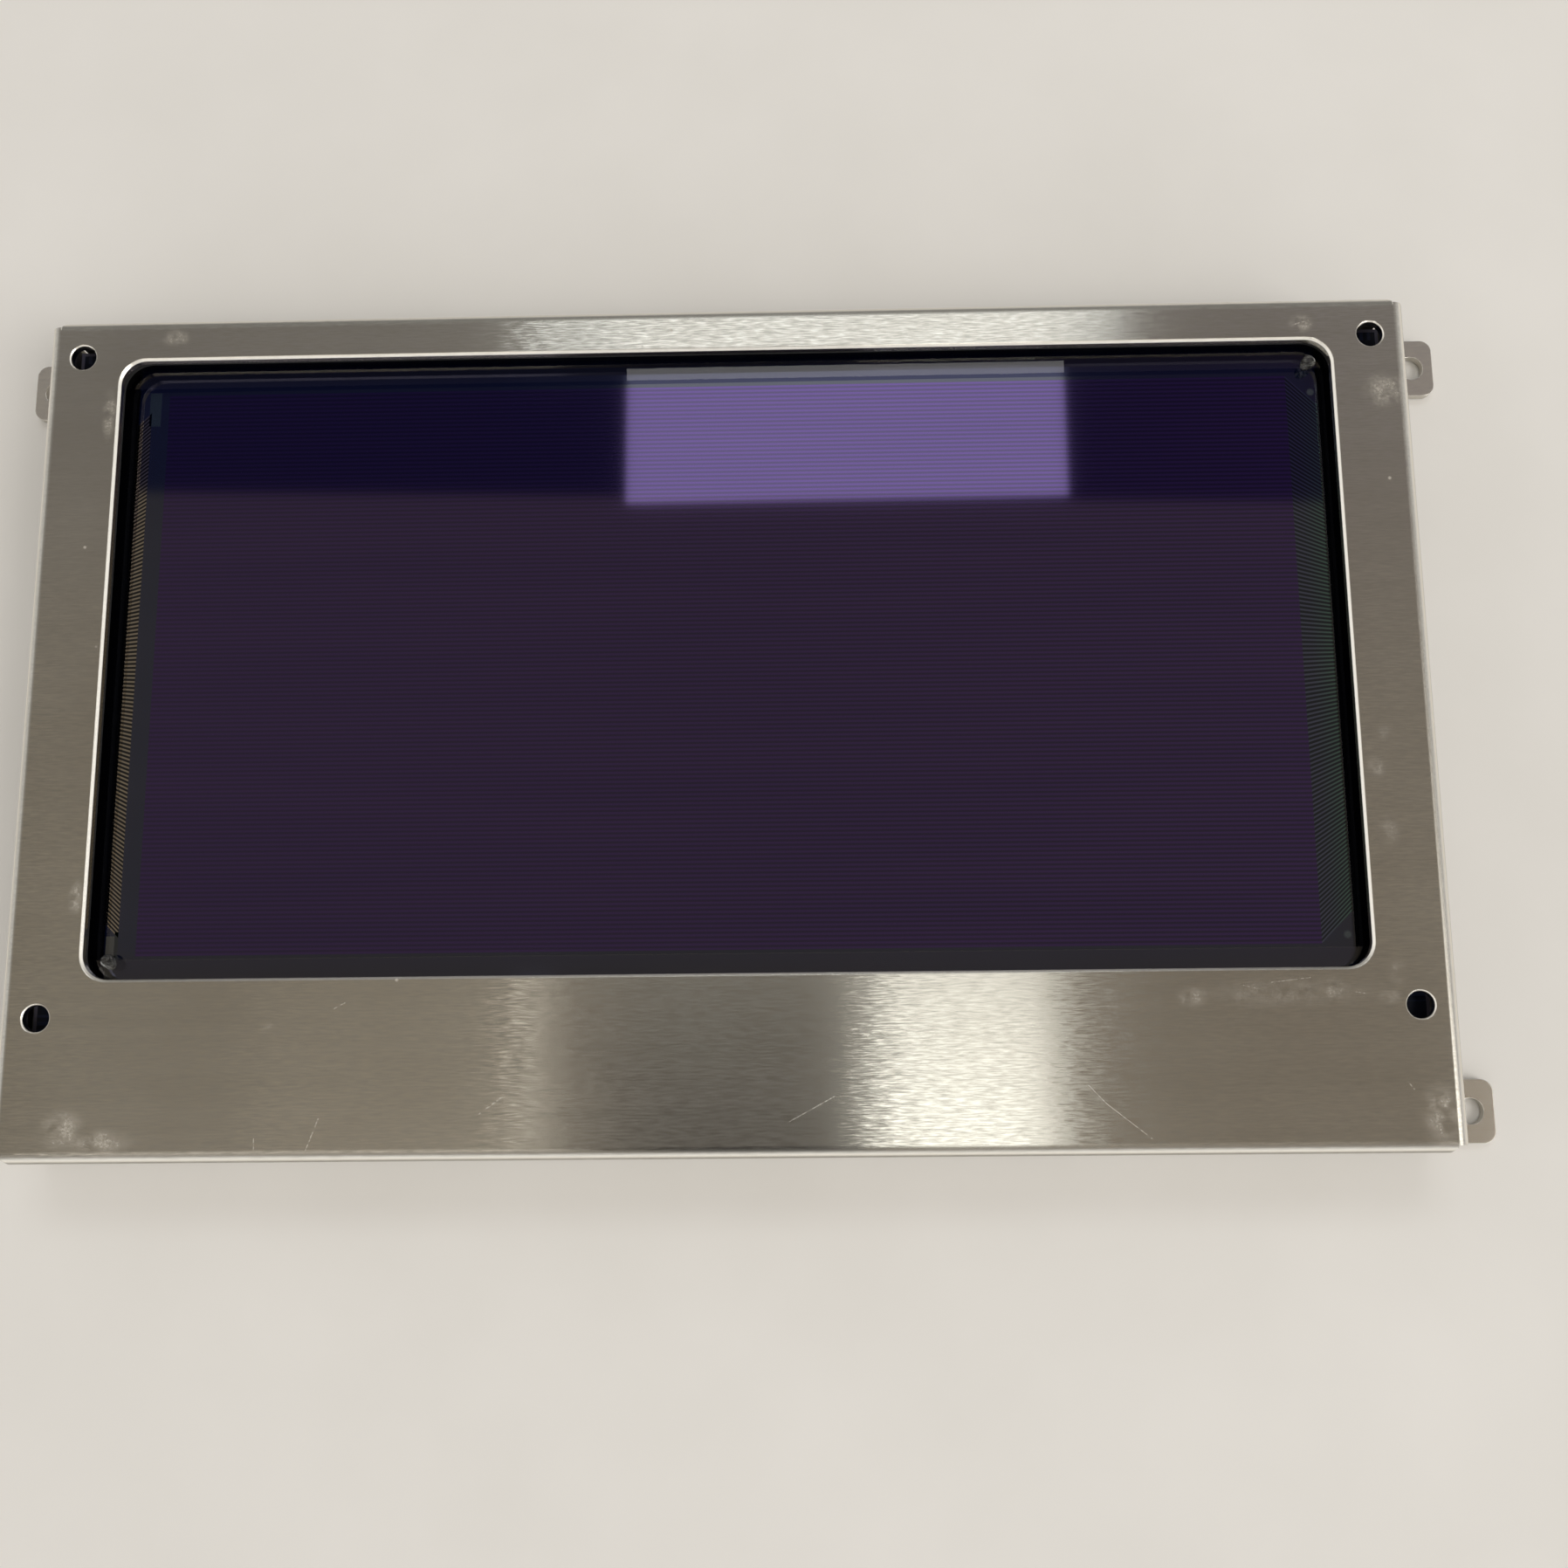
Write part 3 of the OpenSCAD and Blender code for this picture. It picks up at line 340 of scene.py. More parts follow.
def electrode_film():
    """Dark violet film: stripes across the picture, slanted stripes beside it, a slate border round it. The
    stripes' contrast grows toward the right as a painted sheen. Past the leads, the border beside the gasket is
    painted near-black as shade.
    """
    material, put, shader, mm = start_finish("electrode_thin_film")
    at = put("SeparateXYZ", {0: mm})
    half, middle, tall = PICTURE
    beside = put("Math", {0: at.outputs["X"]}, operation="ABSOLUTE")
    height = put("Math", {0: at.outputs["Y"], 1: middle}, operation="SUBTRACT")
    over = put("Math", {0: beside, 1: half}, operation="SUBTRACT")
    over = put("Math", {0: over, 1: 0.0}, operation="MAXIMUM")
    squeeze = put("Math", {0: over, 1: -LEAD_CROWDING, 2: 1.0}, operation="MULTIPLY_ADD")
    row = put("Math", {0: height, 1: squeeze}, operation="DIVIDE")
    tooth = put("Math", {0: row, 1: 2 / ROW_PITCH}, operation="MULTIPLY")
    tooth = put("Math", {0: tooth, 1: 1.0}, operation="PINGPONG")
    stripe = put("MapRange", {"Value": tooth, "From Min": 0.3, "From Max": 0.7})

    in_rows = put("Math", {0: put("Math", {0: row}, operation="ABSOLUTE"), 1: tall}, operation="LESS_THAN")
    in_picture = put("Math", {0: beside, 1: half}, operation="LESS_THAN")
    in_picture = put("Math", {0: in_picture, 1: in_rows}, operation="MULTIPLY")
    mottle = put("TexNoise", {"Vector": mm, "Scale": 1 / 25.0, "Detail": 2.0})
    # Painted sheen: the rows' stripes are drawn with more contrast toward the right.
    painted_sheen = put("MapRange", {"Value": at.outputs["X"], "From Min": -half, "From Max": half, "To Min": 0.6})
    line = put("Mix", {0: painted_sheen, 2: 0.5, 3: stripe})

    rows = put("Mix", {0: line, 6: colour("#010008"), 7: colour("#0a0419")}, data_type="RGBA")
    border = put("Mix", {0: mottle, 6: colour("#03061a"), 7: colour("#050a20")}, data_type="RGBA")
    before_end = put("Math", {0: beside, 1: LEADS_END}, operation="LESS_THAN")
    # Painted shade: past the leads, beside the gasket, the film is drawn near-black.
    border = put("Mix", {0: before_end, 6: colour("#030305"), 7: border}, data_type="RGBA")
    left = put("Math", {0: at.outputs["X"], 1: 0.0}, operation="LESS_THAN")
    outer = put("MapRange", {"Value": over, "From Min": 1.5, "From Max": 4.5})
    right_lead = put("Mix", {0: outer, 6: colour("#60657d"), 7: colour("#5e7875")}, data_type="RGBA")
    lead = put("Mix", {0: left, 6: right_lead, 7: colour("#a0978e")}, data_type="RGBA")
    lead_gap = put("Mix", {0: left, 6: colour("#3a3d45"), 7: colour("#38383a")}, data_type="RGBA")
    thin = put("MapRange", {"Value": tooth, "From Min": 0.4, "From Max": 0.75})
    leads = put("Mix", {0: thin, 6: lead_gap, 7: lead}, data_type="RGBA")
    lead_start = put("Mix", {0: left, 2: half, 3: LEFT_LEADS_START})
    past_start = put("Math", {0: beside, 1: lead_start}, operation="GREATER_THAN")
    in_leads = put("Math", {0: past_start, 1: before_end}, operation="MULTIPLY")
    in_leads = put("Math", {0: in_leads, 1: in_rows}, operation="MULTIPLY")
    skin = put("Mix", {0: in_leads, 6: border, 7: leads}, data_type="RGBA")
    skin = put("Mix", {0: in_picture, 6: skin, 7: rows}, data_type="RGBA")

    bare = in_leads
    for x1, y1, x2, y2, shade in PADS:
        off = put("VectorMath", {0: mm, 1: ((x1 + x2) / 2, (y1 + y2) / 2, 0.0)}, operation="SUBTRACT")
        off = put("SeparateXYZ", {0: put("VectorMath", {0: off}, operation="ABSOLUTE")})
        wide = put("Math", {0: off.outputs["X"], 1: (x2 - x1) / 2}, operation="LESS_THAN")
        long = put("Math", {0: off.outputs["Y"], 1: (y2 - y1) / 2}, operation="LESS_THAN")
        pad = put("Math", {0: wide, 1: long}, operation="MULTIPLY")
        skin = put("Mix", {0: pad, 6: skin, 7: colour(shade)}, data_type="RGBA")
    level = put("CombineXYZ", {0: at.outputs["X"], 1: at.outputs["Y"]})
    for x, y in SPOTS:
        off = put("VectorMath", {0: level, 1: (x, y, 0.0)}, operation="DISTANCE")
        spot = put("MapRange", {"Value": off.outputs["Value"], "From Min": 0.4, "From Max": 0.75, "To Min": 1.0,
                                "To Max": 0.0})
        skin = put("Mix", {0: spot, 6: skin, 7: colour("#3d4446")}, data_type="RGBA")
        around = put("Math", {0: 1.0, 1: spot}, operation="SUBTRACT")
        bare = put("Math", {0: bare, 1: around}, operation="MULTIPLY")
    violet = put("Mix", {0: line, 6: colour("#a495ca"), 7: colour("#bf9dff")}, data_type="RGBA")
    slate = put("Mix", {0: beyond_rows(put, mm), 6: colour("#a8aab8"), 7: colour("#77799b")}, data_type="RGBA")
    tint = put("Mix", {0: in_picture, 6: slate, 7: violet}, data_type="RGBA")
    fill(shader, {"Base Color": skin, "Metallic": bare, "Roughness": 0.04, "IOR": 2.38, "Specular Tint": tint})
    return material


low, high = node_box("electrode_film")
film_front = node_box("front_glass")[0][2] + FILM_LAP
rim = np.array([[low[0], low[1]], [high[0], low[1]], [high[0], high[1]], [low[0], high[1]]])
film_rings = [np.column_stack([rim, np.full(4, z)]) for z in (low[2], film_front)]
ringed_skin("film_sheet", film_rings, electrode_film(), "electrode_film", "electrode_film")

# %% [markdown]
# ## Dabs of clear adhesive
# Two blobs of clear glue sit on the glass in opposite corners of the window. A blob is a low dome whose
# outline wanders in and out; its height falls off like a drop's, steep only at the rim, and its top is uneven.
# A sculpted mesh could give that too, but a formula keeps the dab inside the box of its solid.

# %% Clear adhesive and its two dabs
DAB_FOOT, DAB_TOP = 0.02, 0.9  # clearance over the glass in millimetres, and share of the solid's height


def clear_adhesive():
    """Cured glue, clear, with a lumpy skin that breaks every mirrored lamp into sparkles."""
    material, put, shader, mm = start_finish("clear_cured_adhesive")
    ripple = put("TexNoise", {"Vector": mm, "Scale": 1 / 0.5, "Detail": 2.0})
    tint = put("Mix", {0: ripple, 6: colour("#b4b4b0"), 7: colour("#f4f4f0")}, data_type="RGBA")
    bump = put("Bump", {"Height": ripple, "Strength": 1.0, "Distance": 0.0004})
    fill(shader, {"Base Color": tint, "Roughness": 0.03, "IOR": 1.46, "Transmission Weight": 1.0,
                  "Normal": bump})
    return material


def dab_rings(box, turn, around=48, rings=14):
    """A dome over a lobed outline: each ring is the outline shrunk toward its middle, raised by the root of
    one less the shrink squared. Halfway up, the dome swells and sinks into three lumps."""
    low, high = box
    middle, reach, top = (low + high) / 2, (high - low) / 2, high[2] - low[2]
    angle = np.linspace(0, 2 * np.pi, around, endpoint=False)
    lobe = 0.82 + 0.12 * np.cos(2 * (angle - turn)) + 0.06 * np.cos(3 * angle + turn)
    shrink = np.sin(np.linspace(np.pi / 2, 0.04, rings))[:, None]
    x = middle[0] + reach[0] * lobe * shrink * np.cos(angle)
    y = middle[1] + reach[1] * lobe * shrink * np.sin(angle)
    lump = 0.75 + 0.25 * np.sin(3 * angle + turn) * np.sin(np.pi * shrink)
    z = low[2] + DAB_FOOT + DAB_TOP * top * np.sqrt(1 - shrink ** 2) * lump
    return np.stack([x, y, z], axis=-1)


glue = clear_adhesive()
for number, turn in ((1, 0.7), (2, 2.4)):
    dab = ringed_skin(f"glue_dab_{number}", dab_rings(node_box(f"adhesive_dab_{number}"), turn), glue,
                      "clear_adhesive", f"adhesive_dab_{number}")
    dab.data.shade_smooth()

# %% [markdown]
# ## Gasket, pads, seal and contact strips
# These lie between the bezel, the glasses and the board. Foam is matt black with tiny cells, the seal is a
# cured resin with a dull skin, and a contact strip is a sandwich of thin dark and pale layers, which shows as
# fine stripes along its sides.

# %% Soft and hidden pieces
FOAM_CELL, RUBBER_LAYER = 0.6, 0.5  # in millimetres


def black_foam():
    """Closed-cell foam: its cells are seen as small dark pits."""
    material, put, shader, mm = start_finish("black_cell_foam")
    cells = put("TexVoronoi", {"Vector": mm, "Scale": 1 / FOAM_CELL})
    skin = put("Mix", {0: cells, 6: colour("#0d0d0d"), 7: colour("#262626")}, data_type="RGBA")
    bump = put("Bump", {"Height": cells, "Strength": 0.6, "Distance": 0.0002})
    fill(shader, {"Base Color": skin, "Roughness": 0.92, "Normal": bump})
    return material


def seal_resin():
    """Cured sealing resin: cream, with soft blotches and a dull shine."""
    material, put, shader, mm = start_finish("cured_seal_resin")
    blotch = put("TexNoise", {"Vector": mm, "Scale": 1 / 3.0, "Detail": 3.0})
    skin = put("Mix", {0: blotch, 6: colour("#8c8067"), 7: colour("#b3a88d")}, data_type="RGBA")
    bump = put("Bump", {"Height": blotch, "Strength": 0.3, "Distance": 0.0002})
    fill(shader, {"Base Color": skin, "Roughness": 0.5, "Normal": bump})
    return material


def cover_glass():
    """Grey-tinted plate glass with faint wiping streaks."""
    material, put, shader, mm = start_finish("grey_plate_glass")
    streaks = put("Mapping", {0: mm, "Scale": (1 / 40.0, 1 / 5.0, 1.0)})
    wiped = put("TexNoise", {"Vector": streaks, "Scale": 1.0, "Detail": 2.0})
    tint = put("Mix", {0: wiped, 6: colour("#c9d3d8"), 7: colour("#dde6ea")}, data_type="RGBA")
    fill(shader, {"Base Color": tint, "Roughness": 0.02, "IOR": 1.5, "Transmission Weight": 1.0})
    return material


def contact_elastomer():
    """Layered rubber: dark conducting and pale insulating layers, drawn thicker than life so that they show."""
    material, put, shader, mm = start_finish("layered_contact_rubber")
    at = put("SeparateXYZ", {0: mm})
    run = put("Math", {0: at.outputs["X"], 1: at.outputs["Y"]}, operation="ADD")
    layer = put("Math", {0: run, 1: 1 / RUBBER_LAYER}, operation="MULTIPLY")
    layer = put("Math", {0: layer, 1: 1.0}, operation="PINGPONG")
    layer = put("MapRange", {"Value": layer, "From Min": 0.35, "From Max": 0.65})
    skin = put("Mix", {0: layer, 6: colour("#1b1b1d"), 7: colour("#5d5d60")}, data_type="RGBA")
    bump = put("Bump", {"Height": layer, "Strength": 0.2, "Distance": 0.0001})
    fill(shader, {"Base Color": skin, "Roughness": 0.7, "Normal": bump})
    return material


dress(black_foam(), "window_gasket", "foam_pad")
dress(seal_resin(), "panel_seal", "fill_plug")
dress(cover_glass(), "cover_glass")
dress(contact_elastomer(), "contact_strip")

# %% [markdown]
# ## The driver board
# The board is glass-epoxy under dark blue solder mask. The copper below the mask shows as slightly raised,
# paler tracks that run in bundles, one way or the other in each field of the board. Tinned pads lie under the
# chips' leads, and small tinned vias dot the tracks. A chip's pads are found by folding the board's
# coordinates about the chips' regular places, so one formula serves every chip of a kind.

# %% Chip places and lead patterns
MIDDLE_HEIGHT = 10.6  # the middle of the glass, which the chips' places are measured from
LEAD_PITCH, COLUMN_SPACING = 1.27, 44.0  # from lead to lead, and from one column driver to the next
CHIPS = {  # place of a chip's middle along X and Y, and half its length along each, in millimetres
    "row": (98.0, 20.0, 7.0, 10.0), "column": (22.0, 39.0, 10.0, 7.0), "controller": (0.0, 0.0, 14.0, 14.0),
}


def chip_reach(put, at, kind):
    """Where a point lies by the nearest chip of a kind: its greater distance past a side, its place along that
    side, its lesser distance past a side, and how far it is from the chip's middle along X and Y. Folding finds
    the chip: an absolute value mirrors the left half on the right, and ping-pong repeats a spacing."""
    up = put("Math", {0: at.outputs["Y"], 1: MIDDLE_HEIGHT}, operation="SUBTRACT")
    up = put("Math", {0: up}, operation="ABSOLUTE")
    beside = put("Math", {0: at.outputs["X"]}, operation="ABSOLUTE")
    if kind == "column":
        beside = put("Math", {0: beside, 1: COLUMN_SPACING}, operation="PINGPONG")
    spot_x, spot_y, half_x, half_y = CHIPS[kind]
    off_x = put("Math", {0: put("Math", {0: beside, 1: spot_x}, operation="SUBTRACT")}, operation="ABSOLUTE")
    off_y = put("Math", {0: put("Math", {0: up, 1: spot_y}, operation="SUBTRACT")}, operation="ABSOLUTE")
    past_x = put("Math", {0: off_x, 1: half_x}, operation="SUBTRACT")
    past_y = put("Math", {0: off_y, 1: half_y}, operation="SUBTRACT")
    past = put("Math", {0: past_x, 1: past_y}, operation="MAXIMUM")
    along_x = put("Math", {0: past_y, 1: past_x}, operation="GREATER_THAN")
    along = put("Mix", {0: along_x, 2: off_y, 3: off_x})
    inward = put("Math", {0: past_x, 1: past_y}, operation="MINIMUM")
    return past, along, inward, off_x, off_y


print("kinds of chip:", ", ".join(CHIPS), "with leads", LEAD_PITCH, "mm apart")

# %% Circuit board
FIELD = (13.0, 9.5)  # size of a field whose tracks run one way
VIA_GRID = 2.54
PAD_NEAR, PAD_FAR = 0.55, 2.2  # a pad's ends, measured from the chip's side
BOARD_RIM = 0.55  # width of the paler rim


def circuit_board():
    """Dark blue mask over copper: bundled tracks, pads under every chip's leads, vias and a paler rim."""
    material, put, shader, mm = start_finish("dark_blue_solder_mask_board")
    at = put("SeparateXYZ", {0: mm})

    field = put("VectorMath", {0: mm, 1: (1 / FIELD[0], 1 / FIELD[1], 0.0)}, operation="MULTIPLY")
    field = put("VectorMath", {0: field}, operation="FLOOR")
    fields = put("TexWhiteNoise", {"Vector": field}, noise_dimensions="2D")
    way = put("Math", {0: fields, 1: 0.55}, operation="GREATER_THAN")
    bare = put("Math", {0: fields, 1: 0.16}, operation="GREATER_THAN")
    run = put("Mix", {0: way, 2: at.outputs["Y"], 3: at.outputs["X"]})
    tooth = put("Math", {0: run, 1: 2 / LEAD_PITCH}, operation="MULTIPLY")
    tooth = put("Math", {0: tooth, 1: 1.0}, operation="PINGPONG")
    track = put("MapRange", {"Value": tooth, "From Min": 0.48, "From Max": 0.58})
    track = put("Math", {0: track, 1: bare}, operation="MULTIPLY")

    grid = put("VectorMath", {0: mm, 1: (1 / VIA_GRID, 1 / VIA_GRID, 0.0)}, operation="MULTIPLY")
    cell = put("VectorMath", {0: grid}, operation="FLOOR")
    hole_id = put("TexWhiteNoise", {"Vector": cell}, noise_dimensions="2D")
    inside = put("VectorMath", {0: grid}, operation="FRACTION")
    inside = put("VectorMath", {0: inside, 1: (0.5, 0.5, 0.0)}, operation="DISTANCE")
    ring = put("Math", {0: inside.outputs["Value"], 1: 0.17}, operation="LESS_THAN")
    core = put("Math", {0: inside.outputs["Value"], 1: 0.07}, operation="LESS_THAN")
    chosen = put("Math", {0: hole_id, 1: 0.93}, operation="GREATER_THAN")
    via = put("Math", {0: ring, 1: chosen}, operation="MULTIPLY")
    drilled = put("Math", {0: core, 1: chosen}, operation="MULTIPLY")

    pads = None
    for kind in CHIPS:
        past, along, inward, _, _ = chip_reach(put, at, kind)
        near = put("Math", {0: past, 1: PAD_NEAR}, operation="GREATER_THAN")
        far = put("Math", {0: past, 1: PAD_FAR}, operation="LESS_THAN")
        short = put("Math", {0: inward, 1: -1.0}, operation="LESS_THAN")
        step = put("Math", {0: along, 1: 2 / LEAD_PITCH}, operation="MULTIPLY")
        step = put("Math", {0: step, 1: 1.0}, operation="PINGPONG")
        pad = put("Math", {0: step, 1: 0.56}, operation="LESS_THAN")
        for limit in (near, far, short):
            pad = put("Math", {0: pad, 1: limit}, operation="MULTIPLY")
        pads = pad if pads is None else put("Math", {0: pads, 1: pad}, operation="MAXIMUM")
    tin = put("Math", {0: pads, 1: via}, operation="MAXIMUM")

    cloudy = put("TexNoise", {"Vector": mm, "Scale": 1 / 20.0, "Detail": 3.0})
    mask = put("Mix", {0: cloudy, 6: colour("#20263d"), 7: colour("#293049")}, data_type="RGBA")
    skin = put("Mix", {0: track, 6: mask, 7: colour("#3d4669")}, data_type="RGBA")
    corner = node_box("driver_board")[1]
    rim = put("VectorMath", {0: mm}, operation="ABSOLUTE")
    rim = put("VectorMath", {0: rim, 1: corner - BOARD_RIM}, operation="SUBTRACT")
    rim = put("SeparateXYZ", {0: rim})
    rim = put("Math", {0: rim.outputs["X"], 1: rim.outputs["Y"]}, operation="MAXIMUM")
    rim = put("Math", {0: rim, 1: 0.0}, operation="GREATER_THAN")
    skin = put("Mix", {0: rim, 6: skin, 7: colour("#85839c")}, data_type="RGBA")
    skin = put("Mix", {0: tin, 6: skin, 7: colour("#b9b6ac")}, data_type="RGBA")
    skin = put("Mix", {0: drilled, 6: skin, 7: colour("#1a1814")}, data_type="RGBA")
    rough = put("Mix", {0: tin, 2: 0.32, 3: 0.38})
    raised = put("Math", {0: track, 1: tin}, operation="MAXIMUM")
    bump = put("Bump", {"Height": raised, "Strength": 0.5, "Distance": 0.00006})
    fill(shader, {"Base Color": skin, "Metallic": tin, "Roughness": rough, "Normal": bump})
    return material


dress(circuit_board(), "driver_board")

# %% [markdown]
# ## Chips, capacitors and other small parts
# Moulded chips are matt black with a fine grain, and their bent leads are tinned. A lead is part of the same
# solid as its chip, so the finish asks how far a point lies past the chip's sides.

# %% Moulded chips with tinned leads
def moulded_chip(kind):
    """Matt moulding compound inside the chip's outline, bright tin outside it, and a round ejector mark."""
    material, put, shader, mm = start_finish(f"moulded_chip_{kind}")
    at = put("SeparateXYZ", {0: mm})
    past, _, _, off_x, off_y = chip_reach(put, at, kind)
    lead = put("Math", {0: past, 1: 0.01}, operation="GREATER_THAN")
    grit = put("TexNoise", {"Vector": mm, "Scale": 1 / 0.25, "Detail": 2.0})
    resin = put("Mix", {0: grit, 6: colour("#161617"), 7: colour("#28282a")}, data_type="RGBA")
    skin = put("Mix", {0: lead, 6: resin, 7: colour("#c3c1b8")}, data_type="RGBA")
    out = put("VectorMath", {0: put("CombineXYZ", {0: off_x, 1: off_y})}, operation="LENGTH")
    mark = put("MapRange", {"Value": out.outputs["Value"], "From Min": 2.0, "From Max": 2.3})
    relief = put("Math", {0: grit, 1: 0.25, 2: mark}, operation="MULTIPLY_ADD")
    bump = put("Bump", {"Height": relief, "Strength": 0.5, "Distance": 0.0001})
    rough = put("Mix", {0: lead, 2: 0.62, 3: 0.3})
    fill(shader, {"Base Color": skin, "Metallic": lead, "Roughness": rough, "Normal": bump})
    return material


for kind, solids in zip(CHIPS, ("row_driver", "column_driver", "controller_chip")):
    dress(moulded_chip(kind), solids)

# %% Transistors and capacitor cans
TAB_LEVEL, BASE_LEVEL = 8.9, 8.4  # nearer the board along Z lie a transistor's tab and a can's base
GRIT = 0.3  # grain of mouldings and ceramic
CAN_SPACING, CAN_PLACE = 12.0, 14.0  # along X


def two_part(name, level, far, near):
    """One finish farther from the board than a level along Z, another nearer it, both with a fine grain. The
    far one has a dark and a light colour, the near one a single colour; metallic and roughness follow."""
    material, put, shader, mm = start_finish(name)
    (dark, light, far_metal, far_rough), (plain, near_metal, near_rough) = far, near
    at = put("SeparateXYZ", {0: mm})
    side = put("Math", {0: at.outputs["Z"], 1: level}, operation="GREATER_THAN")
    grit = put("TexNoise", {"Vector": mm, "Scale": 1 / GRIT, "Detail": 2.0})
    skin = put("Mix", {0: grit, 6: colour(dark), 7: colour(light)}, data_type="RGBA")
    skin = put("Mix", {0: side, 6: skin, 7: colour(plain)}, data_type="RGBA")
    metal = put("Mix", {0: side, 2: far_metal, 3: near_metal})
    rough = put("Mix", {0: side, 2: far_rough, 3: near_rough})
    bump = put("Bump", {"Height": grit, "Strength": 0.3, "Distance": 0.00005})
    fill(shader, {"Base Color": skin, "Metallic": metal, "Roughness": rough, "Normal": bump})
    return material, put, shader, at, skin


transistor = two_part("moulded_transistor_on_tinned_tab", TAB_LEVEL, far=("#161617", "#29292b", 0.0, 0.6),
                      near=("#c0beb4", 1.0, 0.33))
dress(transistor[0], "power_transistor")


def drawn_can():
    """Satin aluminium can on a black base, with a dark half-round patch on the minus side of its top."""
    material, put, shader, at, skin = two_part(
        "drawn_aluminium_can", BASE_LEVEL, far=("#b4b6b9", "#c6c8ca", 1.0, 0.32), near=("#1a1a1b", 0.0, 0.6))
    turn = put("Math", {0: at.outputs["X"], 1: 1 / CAN_SPACING, 2: 0.5 - CAN_PLACE / CAN_SPACING},
               operation="MULTIPLY_ADD")
    across = put("Math", {0: turn}, operation="FRACT")
    minus = put("Math", {0: across, 1: 0.36}, operation="LESS_THAN")
    can_top = node_box("smoothing_capacitor_1")[0][2]
    top = put("Math", {0: at.outputs["Z"], 1: can_top + 0.05}, operation="LESS_THAN")
    patch = put("Math", {0: minus, 1: top}, operation="MULTIPLY")
    skin = put("Mix", {0: patch, 6: skin, 7: colour("#202124")}, data_type="RGBA")
    fill(shader, {"Base Color": skin})
    return material


dress(drawn_can(), "smoothing_capacitor")

# %% Ceramic capacitors
BLOCK_SPACING, CLOSE_PLACE, CLOSE_REACH = 22.0, 18.8, 15.0  # of all blocks, and of those by the controller
BLOCK_END = 1.05  # the tin starts this far from a block's middle


def tan_ceramic():
    """Tan fired ceramic blocks with tinned ends. Folding X about the blocks' places finds them."""
    material, put, shader, mm = start_finish("tan_fired_ceramic")
    at = put("SeparateXYZ", {0: mm})
    beside = put("Math", {0: at.outputs["X"]}, operation="ABSOLUTE")
    up = put("Math", {0: at.outputs["Y"], 1: MIDDLE_HEIGHT}, operation="SUBTRACT")
    up = put("Math", {0: up}, operation="ABSOLUTE")
    by_controller = put("Math", {0: up, 1: CLOSE_REACH}, operation="LESS_THAN")
    spaced = put("Math", {0: beside, 1: BLOCK_SPACING}, operation="PINGPONG")
    close = put("Math", {0: beside, 1: CLOSE_PLACE}, operation="SUBTRACT")
    close = put("Math", {0: close}, operation="ABSOLUTE")
    off = put("Mix", {0: by_controller, 2: spaced, 3: close})
    end = put("Math", {0: off, 1: BLOCK_END}, operation="GREATER_THAN")
    grit = put("TexNoise", {"Vector": mm, "Scale": 1 / GRIT, "Detail": 2.0})
    clay = put("Mix", {0: grit, 6: colour("#8f7350"), 7: colour("#b09572")}, data_type="RGBA")
    skin = put("Mix", {0: end, 6: clay, 7: colour("#c9c7be")}, data_type="RGBA")
    rough = put("Mix", {0: end, 2: 0.45, 3: 0.3})
    bump = put("Bump", {"Height": grit, "Strength": 0.25, "Distance": 0.00005})
    fill(shader, {"Base Color": skin, "Metallic": end, "Roughness": rough, "Normal": bump})
    return material


dress(tan_ceramic(), "chip_capacitors")

# %% [markdown]
# ## Transformer, choke, header and fasteners
# The converter that lights the panel stands in the lower corner of the board. Its ferrite is ground and grey,
# the winding is wrapped in amber film tape, and the choke's copper shows bare, so its plain solid is replaced
# by a real helix of wire.

# %% Moulded plastic, ferrite and metals
def grained(name, dark, light, metal, rough, grain_mm, relief_mm):
    """A surface whose colour, roughness and height share one noise of a real grain size."""
    material, put, shader, mm = start_finish(name)
    grain = put("TexNoise", {"Vector": mm, "Scale": 1 / grain_mm, "Detail": 3.0})
    skin = put("Mix", {0: grain, 6: colour(dark), 7: colour(light)}, data_type="RGBA")
    dull = put("MapRange", {"Value": grain, "From Min": 0.3, "From Max": 0.7,
                            "To Min": rough[0], "To Max": rough[1]})
    bump = put("Bump", {"Height": grain, "Strength": 0.4, "Distance": relief_mm / 1000})
    fill(shader, {"Base Color": skin, "Metallic": metal, "Roughness": dull, "Normal": bump})
    return material


dress(grained("moulded_black_plastic", "#141414", "#232324", metal=0.0, rough=(0.42, 0.55), grain_mm=0.4,
              relief_mm=0.05), "transformer_bobbin", "data_header")
dress(grained("ground_ferrite", "#35363a", "#4c4d52", metal=0.0, rough=(0.5, 0.68), grain_mm=0.25,
              relief_mm=0.04), "transformer_core", "choke_core")
dress(grained("zinc_plated_steel", "#a9a79f", "#c6c4bb", metal=1.0, rough=(0.22, 0.36), grain_mm=0.8,
              relief_mm=0.02), "board_standoffs", "board_screws")
dress(grained("gilt_bronze_pins", "#c79a3e", "#e0bb62", metal=1.0, rough=(0.18, 0.28), grain_mm=0.5,
              relief_mm=0.01), "header_pins")

# %% Amber tape
TAPE_STEP = 1.6  # from one turn's edge to the next


